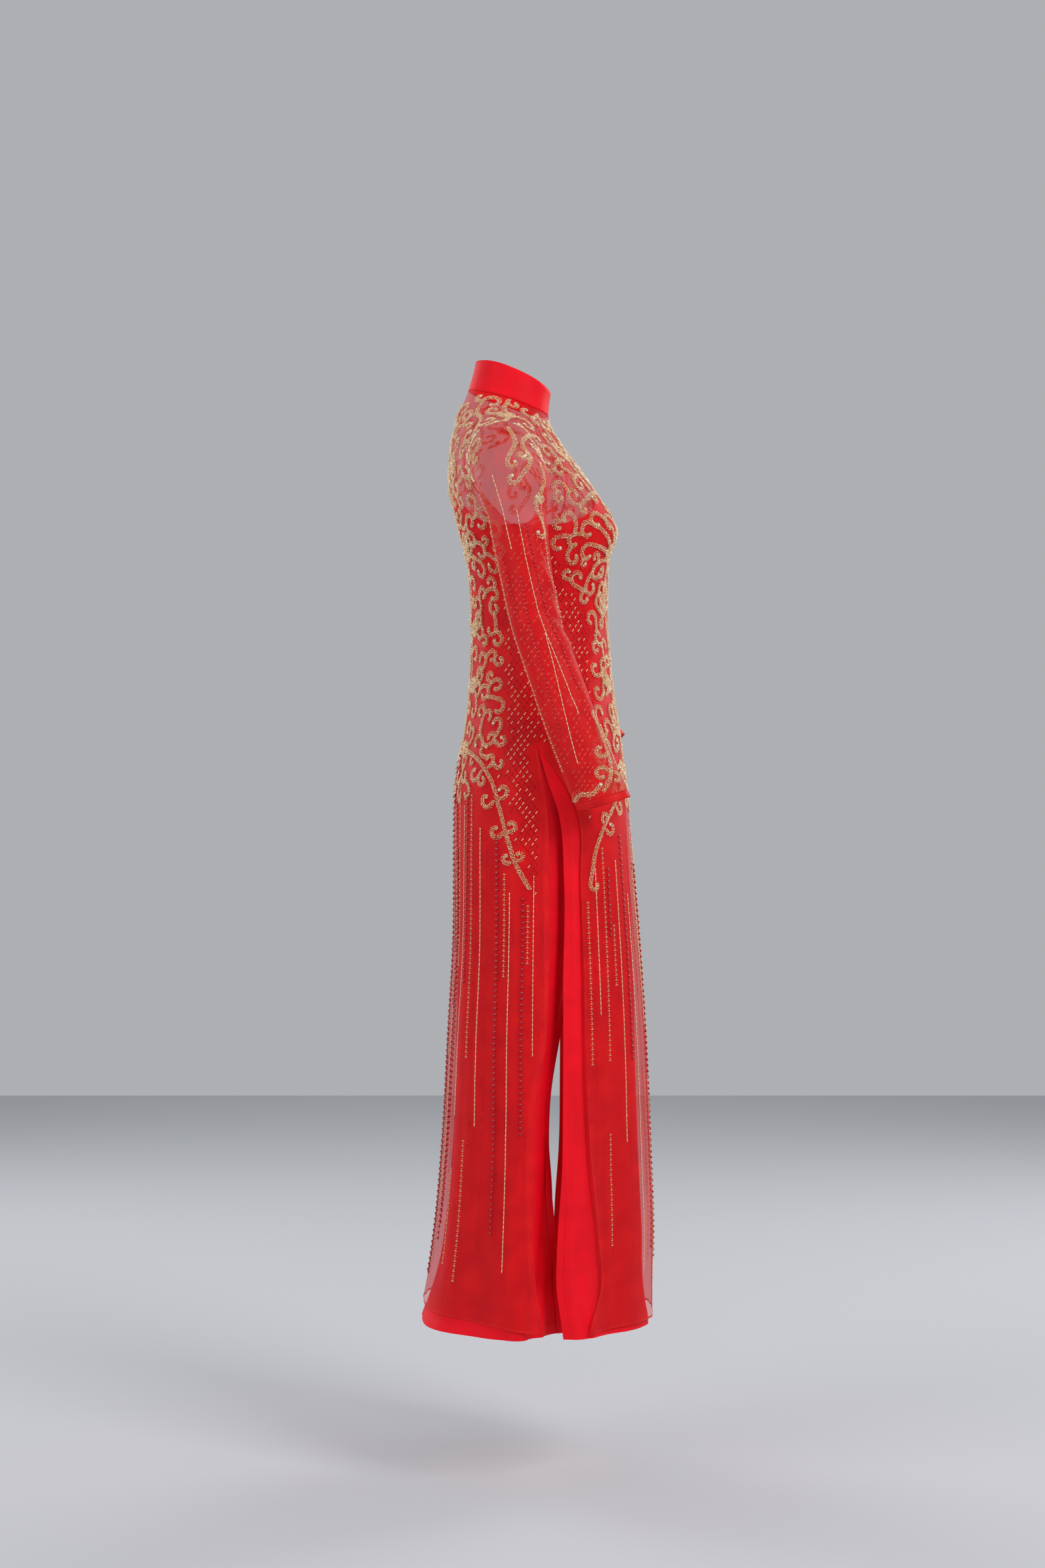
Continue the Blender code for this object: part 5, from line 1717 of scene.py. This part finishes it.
def cloth_object(name: str, cloth: Cloth, finish: bpy.types.Material, wall: float = 0.0) -> bpy.types.Object:
    """Makes a cloth piece with a UV map in metres, and a wall where it has one.

    Args:
        name: The piece's name.
        cloth: Its grid.
        finish: Its material.
        wall: How thick it is, or 0 for a single sheer layer.

    Returns:
        The piece.
    """
    made = mesh_object(name, cloth.points.reshape(-1, 3), cloth.faces(), finish)
    charted(made, np.stack([cloth.across(), -cloth.down()], axis=-1).reshape(-1, 2))
    if wall:
        solid = made.modifiers.new("Wall", "SOLIDIFY")
        solid.thickness = wall
        solid.offset = -1.0
    return made


def strip(edge: np.ndarray, inside: np.ndarray, normals: np.ndarray, width: float, lift: float) -> Cloth:
    """A narrow strip of cloth along an edge, such as a hem or a seam's turned-in allowance.

    Args:
        edge: Points of the edge.
        inside: Points a little further into the cloth.
        normals: The cloth's outward normals at the edge.
        width: How wide the strip is.
        lift: How far it stands off the cloth.

    Returns:
        The strip.
    """
    inward = unit(inside - edge)
    rows = [edge + inward * width * share + normals * lift * rise for share, rise in ((0, 0.6), (0.5, 1), (1, 0.6))]
    middle = len(edge) // 2
    return Cloth(np.array(rows), normals[middle])


def strips_of(cloth: Cloth, first: int, sides: float, bottom: float, lift: float) -> list[Cloth]:
    """The hems of a panel: along both slits from a row down, and along the bottom.

    Args:
        cloth: The panel.
        first: The row that the slits start at.
        sides: How wide the side hems are.
        bottom: How wide the bottom hem is.
        lift: How far they stand off.

    Returns:
        The three strips.
    """
    points, normals = cloth.points, cloth.normals()
    return [
        strip(points[first:, 0], points[first:, 2], normals[first:, 0], sides, lift),
        strip(points[-1], points[-4], normals[-1], bottom, lift),
        strip(points[first:, -1], points[first:, -3], normals[first:, -1], sides, lift),
    ]


def strip_object(name: str, strips: list[Cloth], finish: bpy.types.Material) -> bpy.types.Object:
    """Makes several strips as one piece, with a UV map in metres."""
    points = np.concatenate([cloth.points.reshape(-1, 3) for cloth in strips])
    charts = np.concatenate([np.stack([c.across(), -c.down()], axis=-1).reshape(-1, 2) for c in strips])
    faces, first = [], 0
    for cloth in strips:
        faces.append(cloth.faces() + first)
        first += cloth.points.shape[0] * cloth.points.shape[1]
    made = mesh_object(name, points, np.concatenate(faces), finish)
    charted(made, charts)
    return made


def area_of(piece: bpy.types.Object) -> float:
    """A piece's area in square metres, before modifiers."""
    return sum(face.area for face in piece.data.polygons)


def registered(piece: bpy.types.Object, replaced: str = "") -> bpy.types.Object:
    """Puts a piece on the body, hides the solid that it stands for, and logs its faces and area."""
    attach(piece, "root")
    if replaced:
        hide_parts(replaced)
    LOG.info("%s: %d faces, %.3f m2", piece.name, len(piece.data.polygons), area_of(piece))
    return piece


@dataclass
class Panels:
    """The front and back: a sheer outer length over an opaque one, at each side of the side seams.

    A cut is a length's width and height, and its flat area; the cuts are not used.
    """

    form: Form
    tulle: bpy.types.Material
    doubled: bpy.types.Material
    crepe: bpy.types.Material
    rolled_hem: float = 0.0032
    crepe_hem: float = 0.015
    crepe_side_hem: float = 0.009
    hem_lift: float = 0.0005
    tulle_cut: dict[str, tuple[float, float, float]] = field(
        default_factory=lambda: {"front": (0.45, 1.36, 0.465), "back": (0.58, 1.36, 0.54)}
    )
    crepe_cut: dict[str, tuple[float, float, float]] = field(
        default_factory=lambda: {"front": (0.48, 1.16, 0.47), "back": (0.69, 1.14, 0.56)}
    )

    def build(self) -> dict[bool, Cloth]:
        """Makes the four lengths.

        Returns:
            The outer cloth of the front (True) and of the back (False).
        """
        outers = {}
        for front in (True, False):
            side = "front" if front else "back"
            facing = np.array((0.0, -1.0 if front else 1.0, 0.0))
            rows = self.form.panel_rows(front)
            outer = Cloth(rows, facing)
            inner = Cloth(self.form.under_rows(front, rows), facing)
            shared = BODICE_CREASES[side] + SKIRT_CREASES[side]
            outer.crease(shared + TULLE_CREASES[side], outer.points[..., 2])
            inner.crease(shared + CREPE_CREASES[side], inner.points[..., 2])
            slit = len(outer.points) - SKIRT_ROWS
            strips = strips_of(outer, slit, self.rolled_hem, self.rolled_hem, self.hem_lift)
            hem = registered(strip_object(f"{side}_rolled_hem", strips, self.doubled))
            piece = registered(cloth_object(f"{side}_tulle", outer, self.tulle), f"{side}_panel")
            slit = len(inner.points) - SKIRT_ROWS
            strips = strips_of(inner, slit, self.crepe_side_hem, self.crepe_hem, self.hem_lift)
            hem = registered(strip_object(f"{side}_crepe_hem", strips, self.crepe))
            piece = registered(cloth_object(f"{side}_crepe", inner, self.crepe), f"{side}_underlayer")
            outers[front] = outer
        return outers


@dataclass
class Sleeve:
    """A sheer raglan sleeve with its doubled wrist band."""

    form: Form
    side: Side
    tulle: bpy.types.Material
    doubled: bpy.types.Material
    band_wall: float = 0.0008
    seam_width: float = 0.0035

    def build(self) -> Cloth:
        """Makes the sleeve and its band.

        Returns:
            The sleeve's cloth.
        """
        table = SLEEVE_LEFT if self.side is Side.LEFT else SLEEVE_RIGHT
        label = self.side.name.lower()
        cloth = Cloth(self.form.sleeve_rows(table, CUFF_WIDTH), np.array((1.0, 0.0, 0.2)), closed=False)
        arm = Arm(table)
        turns = np.linspace(np.pi, -np.pi, SLEEVE_COLUMNS + 1)
        shares = np.linspace(1 - CUFF_WIDTH / arm.length, 1, 5)
        band = Cloth(np.array([arm.ring(share, turns) for share in shares]), np.array((1.0, 0.0, 0.0)), closed=True)
        cloth.crease(SLEEVE_CREASES, cloth.down())
        cloth.points[:, -1][SLEEVE_CAP_ROWS + 6 :] = cloth.points[:, 0][SLEEVE_CAP_ROWS + 6 :]
        if self.side is Side.RIGHT:
            cloth, band = cloth.mirrored(), band.mirrored()
        points, normals = cloth.points, cloth.normals()
        cap = SLEEVE_CAP_ROWS + 6
        seams = [
            strip(points[:cap, end], points[:cap, end + into], normals[:cap, end], self.seam_width, 0.0007)
            for end, into in ((0, 2), (-1, -2))
        ]
        seam = registered(strip_object(f"raglan_seams_{label}", seams, self.doubled))
        piece = cloth_object(f"sleeve_tulle_{label}", cloth, self.tulle)
        registered(piece, f"sleeve_{label}")
        piece = cloth_object(f"wrist_binding_{label}", band, self.doubled, self.band_wall)
        registered(piece, f"wrist_band_{label}")
        return cloth


@dataclass
class Collar:
    """The plain crepe stand collar, stiffened, meeting at centre back."""

    form: Form
    crepe: bpy.types.Material
    gap: float = 0.0006

    def build(self) -> Cloth:
        """Makes the collar.

        Returns:
            Its cloth.
        """
        gap = self.gap / 2 / abs(self.form.neck([math.pi])[0, 1])
        angles = np.linspace(-math.pi + gap, math.pi - gap, COLLAR_COLUMNS)
        base = self.form.neck(angles) + (0, 0, COLLAR_CLEARANCE)
        top = COLLAR_BACK_TOP - COLLAR_FRONT_DROP * ((1 + np.cos(angles)) / 2) ** COLLAR_DROP_POWER
        rows = []
        for share in np.linspace(0, 1, COLLAR_ROWS):
            rise = share * (top - base[:, 2])
            shrink = 1 - COLLAR_TAPER * share * (1 - 0.5 * share)
            rows.append(
                np.stack([base[:, 0] * shrink, base[:, 1] * shrink - COLLAR_LEAN * rise, base[:, 2] + rise], axis=1)
            )
        cloth = Cloth(np.array(rows), np.array((0.0, -1.0, 0.0)))
        piece = cloth_object("collar_stand", cloth, self.crepe, COLLAR_WALL)
        registered(piece, "collar")
        return cloth


@dataclass
class TorsoBeads:
    """The scrolls, nets and lines of the front, the back and the shoulders."""

    form: Form
    skin: Skin
    glass: dict[str, bpy.types.Material]
    growths: tuple[Growth, ...] = (
        Growth((0.040, 0.060)),
        Growth((0.026, 0.040)),
        Growth((0.016, 0.024), half=0.0017, room=0.0070),
        Growth((0.009, 0.014), half=0.0009, room=0.0058, hook=(120, 220)),
    )

    def __post_init__(self) -> None:
        """Draws the zones' edges and finds the neck seam."""
        self.gold = Curves.through(GOLD_ZONE, GOLD_COLUMNS, "z")
        self.net = Curves.through(NET_ZONE, NET_COLUMNS, "z")
        self.collar = self.form.neck(np.linspace(0, math.pi, 91))
        self.sewing = {part: Sewing(part, self.glass, number) for number, part in enumerate(("front", "back"), 3)}

    def build(self) -> None:
        """Sews both halves."""
        scrolls = Scrolls(self.skin, self.allowed, 11)
        for stem in STEMS:
            scrolls.plant(stem)
        for fan in FANS:
            scrolls.spread(fan)
        places = self.skin.points[self.skin.points[:, 0] > 0][::2]
        for growth in self.growths:
            LOG.info("%d curls grown", scrolls.fill(places, growth))
        for thread in scrolls.threads:
            self._both(thread, lambda sewing, side: sewing.scroll(side))
        for line in LINES:
            self._line(line)
        self._net(scrolls.room)
        for sewing in self.sewing.values():
            sewing.make()

    def allowed(self, points: np.ndarray) -> np.ndarray:
        """True for each point of the left half where gold may lie."""
        x, y, z = points[:, 0], points[:, 1], points[:, 2]
        zone = (y < self.gold.read("front_y", z)) | (y > self.gold.read("back_y", z))
        away = np.linalg.norm(points[:, None] - self.collar[None], axis=2)
        nearest = np.argmin(away, axis=1)
        margin = np.interp(nearest, (0, 55, 90), (NECK_MARGIN_FRONT, NECK_MARGIN_FRONT, NECK_MARGIN_BACK))
        inside = np.linalg.norm(points[:, :2], axis=1) < np.linalg.norm(self.collar[nearest, :2], axis=1)
        sleeve = x > np.interp(z, (-0.60, -0.40, -0.20, -0.11, -0.09), (0.200, 0.146, 0.142, 0.142, 0.300))
        return zone & (x > 0.0015) & ~((away.min(axis=1) < margin) | (inside & (z > -0.03)) | sleeve)

    def _part(self, point: np.ndarray) -> Sewing:
        """The sewing that a line belongs to."""
        return self.sewing["front" if point[1] < float(np.interp(point[2], (-0.2, 0.0), (SIDE_Y, 0.0))) else "back"]

    def _both(self, thread: Thread, sew: Callable[[Sewing, Thread], None]) -> None:
        """Sews a line on the left half and its twin on the right."""
        sewing = self._part(thread.points[len(thread.points) // 2])
        sew(sewing, thread)
        twin = self.skin.lay(thread.points * (-1, 1, 1))
        twin.half, twin.tip = thread.half, thread.tip
        sew(sewing, twin)

    def _line(self, line: Line) -> None:
        """Sews a straight line of the skirt on both halves."""
        heights = np.arange(line.top, line.bottom, -0.004)
        turn = math.radians(180 - line.turn if line.front else line.turn)
        points = self.form.ring(np.full(len(heights), turn), heights)
        self._both(self.skin.lay(points), lambda sewing, side: sewing.line(side, line.stitch))

    def _net(self, room: Room) -> None:
        """Sews the net of red beads over both sides, where the gold leaves room."""
        across, down = NET_CELL[0] / 2, NET_CELL[1] / 2
        rows = int((NET_TOP_Z - NET_ZONE[-1][0]) / down)
        reach = int(0.16 / across)
        places = np.zeros((rows, 2 * reach + 1, 3))
        for j in range(rows):
            turns = np.linspace(0, math.pi, 721)
            ring = self.form.ring(turns, NET_TOP_Z - j * down)
            along = np.concatenate([[0], np.cumsum(np.linalg.norm(np.diff(ring, axis=0), axis=1))])
            middle = along[np.argmin(np.abs(turns - math.pi / 2))]
            at = middle + np.arange(-reach, reach + 1) * across
            places[j] = np.stack([np.interp(at, along, ring[:, k]) for k in range(3)], axis=1)
        keep = self._in_net(places) & room.free(places.reshape(-1, 3)).reshape(places.shape[:2])
        for j in range(rows - 1):
            for i in range(1, 2 * reach):
                if (i + j) % 2 or not keep[j, i]:
                    continue
                for step, gold in ((1, False), (-1, True)):
                    if keep[j + 1, i + step]:
                        self._edge(places[j, i], places[j + 1, i + step], gold)

    def _in_net(self, places: np.ndarray) -> np.ndarray:
        """True for each place inside the net's edges and clear of the slit."""
        y, z = places[..., 1], places[..., 2]
        inside = (y > self.net.read("net_front_y", z)) & (y < self.net.read("net_back_y", z))
        below = z < SLIT_TOP_Z
        front = y < self.form.slit.read("tulle_front", np.minimum(z, SLIT_TOP_Z)) - NET_SLIT_MARGIN
        back = y > self.form.slit.read("tulle_back", np.minimum(z, SLIT_TOP_Z)) + NET_SLIT_MARGIN
        return inside & (~below | front | back)

    def _edge(self, start: np.ndarray, end: np.ndarray, gold: bool) -> None:
        """Sews one edge of a net's cell: red seeds, or on many of the slanting ones a gold tube."""
        thread = self.skin.lay(np.array([start, (start + end) / 2, end]))
        tube = gold and self._part(start).draw.random() < 0.55

        def sew(sewing: Sewing, side: Thread) -> None:
            """Sews the edge on one half."""
            tangent, normal = unit(side.points[2:] - side.points[:1]), side.normals[1:2]
            sewing.trays["knot"].put(side.points[:1] + normal * 0.0008, tangent, normal, (0.0023, 0.0022, 0.0018))
            if tube:
                sewing.trays["tube"].put(side.points[1:2] + normal * 0.0007, tangent, normal, NET_TUBE)
                return
            at = np.array([[0.28], [0.52], [0.76]])
            centre = side.points[:1] + (side.points[2:] - side.points[:1]) * at + normal * 0.0006
            ones = np.ones((3, 1))
            sewing.trays["red"].put(centre, ones * tangent, ones * normal, (0.0017, 0.0013, 0.0013))

        self._both(thread, sew)


@dataclass
class SleeveBeads:
    """The lines and the cuff's scrolls of one sleeve."""

    side: Side
    cloth: Cloth
    glass: dict[str, bpy.types.Material]
    growths: tuple[Growth, ...] = (
        Growth((0.028, 0.042), half=0.0021, room=0.0074),
        Growth((0.018, 0.028), half=0.0017, room=0.0070),
        Growth((0.009, 0.014), half=0.0009, room=0.0058, hook=(120, 220)),
    )

    def __post_init__(self) -> None:
        """Draws the arm."""
        self.arm = Arm(SLEEVE_LEFT if self.side is Side.LEFT else SLEEVE_RIGHT)
        self.skin = Skin([self.cloth])
        shares = np.linspace(0.5, 1, 101)
        middles = np.stack([self.arm.curves.read(axis, shares) for axis in "xyz"], axis=1)
        self.middles = middles * (self.side.value, 1, 1)
        self.shares = shares

    def build(self) -> None:
        """Sews the sleeve."""
        label = f"sleeve_{self.side.name.lower()}"
        sewing = Sewing(label, self.glass, 7 + self.side.value)
        for line in SLEEVE_LINES:
            shares = np.linspace(line.start, line.end, 40)
            turns = np.radians(np.linspace(line.start_turn, line.end_turn, 40))
            sewing.line(self.skin.lay(self._points(shares, turns)), line.stitch)
        scrolls = Scrolls(self.skin, self.allowed, 21)
        for guide in CUFF_STEMS:
            shares, turns = np.array(guide).T
            thread = self.skin.run(self._points(shares, np.radians(turns)))
            thread.tip = True
            scrolls.add(thread)
        for growth in self.growths:
            scrolls.fill(self.skin.points[::2], growth)
        for thread in scrolls.threads:
            sewing.scroll(thread)
        sewing.make()

    def _points(self, shares: np.ndarray, turns: np.ndarray) -> np.ndarray:
        """Points of the arm's round at these places."""
        points = [self.arm.ring(share, np.array([turn]))[0] for share, turn in zip(shares, turns)]
        return np.array(points) * (self.side.value, 1, 1)

    def allowed(self, points: np.ndarray) -> np.ndarray:
        """True for each point where the cuff's gold may lie: higher up at the front than elsewhere."""
        away = np.linalg.norm(points[:, None] - self.middles[None], axis=2)
        nearest = np.argmin(away, axis=1)
        share = self.shares[nearest]
        forward = (self.middles[nearest, 1] - points[:, 1]) / 0.03
        return (share < 0.972) & (share > 0.935 - 0.17 * np.clip(forward, 0, 1))


@dataclass
class Studio:
    """The floor, the lights and the camera."""

    floor_z: float = -1.476
    floor_size: float = 10.0
    camera_x: float = -4.2
    camera_y: float = -0.022
    camera_z: float = -0.529
    lens: float = 69.5

    def build(self) -> None:
        """Makes them and sets the scene's camera."""
        half = self.floor_size / 2
        corners = np.array([(-half, -half, 0), (half, -half, 0), (half, half, 0), (-half, half, 0)])
        floor = mesh_object(
            "studio_floor", corners + (0, 0, self.floor_z), np.array([[0, 1, 2, 3]]), Plain().material()
        )
        self._camera()
        self._light("key", (-2.6, -2.2, 1.6), 1.6, 82.0)
        self._light("fill", (-2.2, 2.6, 0.6), 2.0, 34.0)
        self._light("far_front", (2.4, -2.4, 0.9), 1.8, 45.0)
        self._light("far_back", (2.4, 2.4, 0.9), 1.8, 40.0)
        world = bpy.data.worlds.new("studio_air")
        world.use_nodes = True
        background = world.node_tree.nodes["Background"]
        background.inputs["Color"].default_value = linear("#C9CBCF")
        background.inputs["Strength"].default_value = 0.72
        bpy.context.scene.world = world
        bpy.context.scene.view_settings.view_transform = "Standard"

    def _camera(self) -> None:
        """A level camera on the photograph's side."""
        data = bpy.data.cameras.new("camera")
        data.lens = self.lens
        camera = bpy.data.objects.new("camera", data)
        camera.location = (self.camera_x, self.camera_y, self.camera_z)
        camera.rotation_euler = (math.pi / 2, 0, -math.pi / 2)
        bpy.context.scene.collection.objects.link(camera)
        bpy.context.scene.camera = camera

    def _light(self, name: str, place: tuple[float, float, float], size: float, power: float) -> None:
        """A soft box that faces the tunic's middle."""
        data = bpy.data.lights.new(name, "AREA")
        data.size = size
        data.energy = power
        lamp = bpy.data.objects.new(name, data)
        lamp.location = place
        aim = Vector((0.0, -0.04, -0.55)) - Vector(place)
        lamp.rotation_euler = aim.to_track_quat("-Z", "Y").to_euler()
        bpy.context.scene.collection.objects.link(lamp)


def main() -> None:
    """Builds the tunic's pieces in order."""
    logging.basicConfig(level=logging.INFO, format="%(message)s")
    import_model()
    form = Form()
    tulle = Tulle().material()
    doubled = Tulle(name="doubled_tulle", cover=0.8).material()
    crepe = Crepe().material()
    Studio().build()
    outers = Panels(form, tulle, doubled, crepe).build()
    sleeves = {side: Sleeve(form, side, tulle, doubled).build() for side in Side}
    Collar(form, crepe).build()
    glass = {key: finish.material() for key, finish in GLASS.items()}
    TorsoBeads(form, Skin([*outers.values(), *sleeves.values()]), glass).build()
    for side, cloth in sleeves.items():
        SleeveBeads(side, cloth, glass).build()


if __name__ == "__main__":
    main()
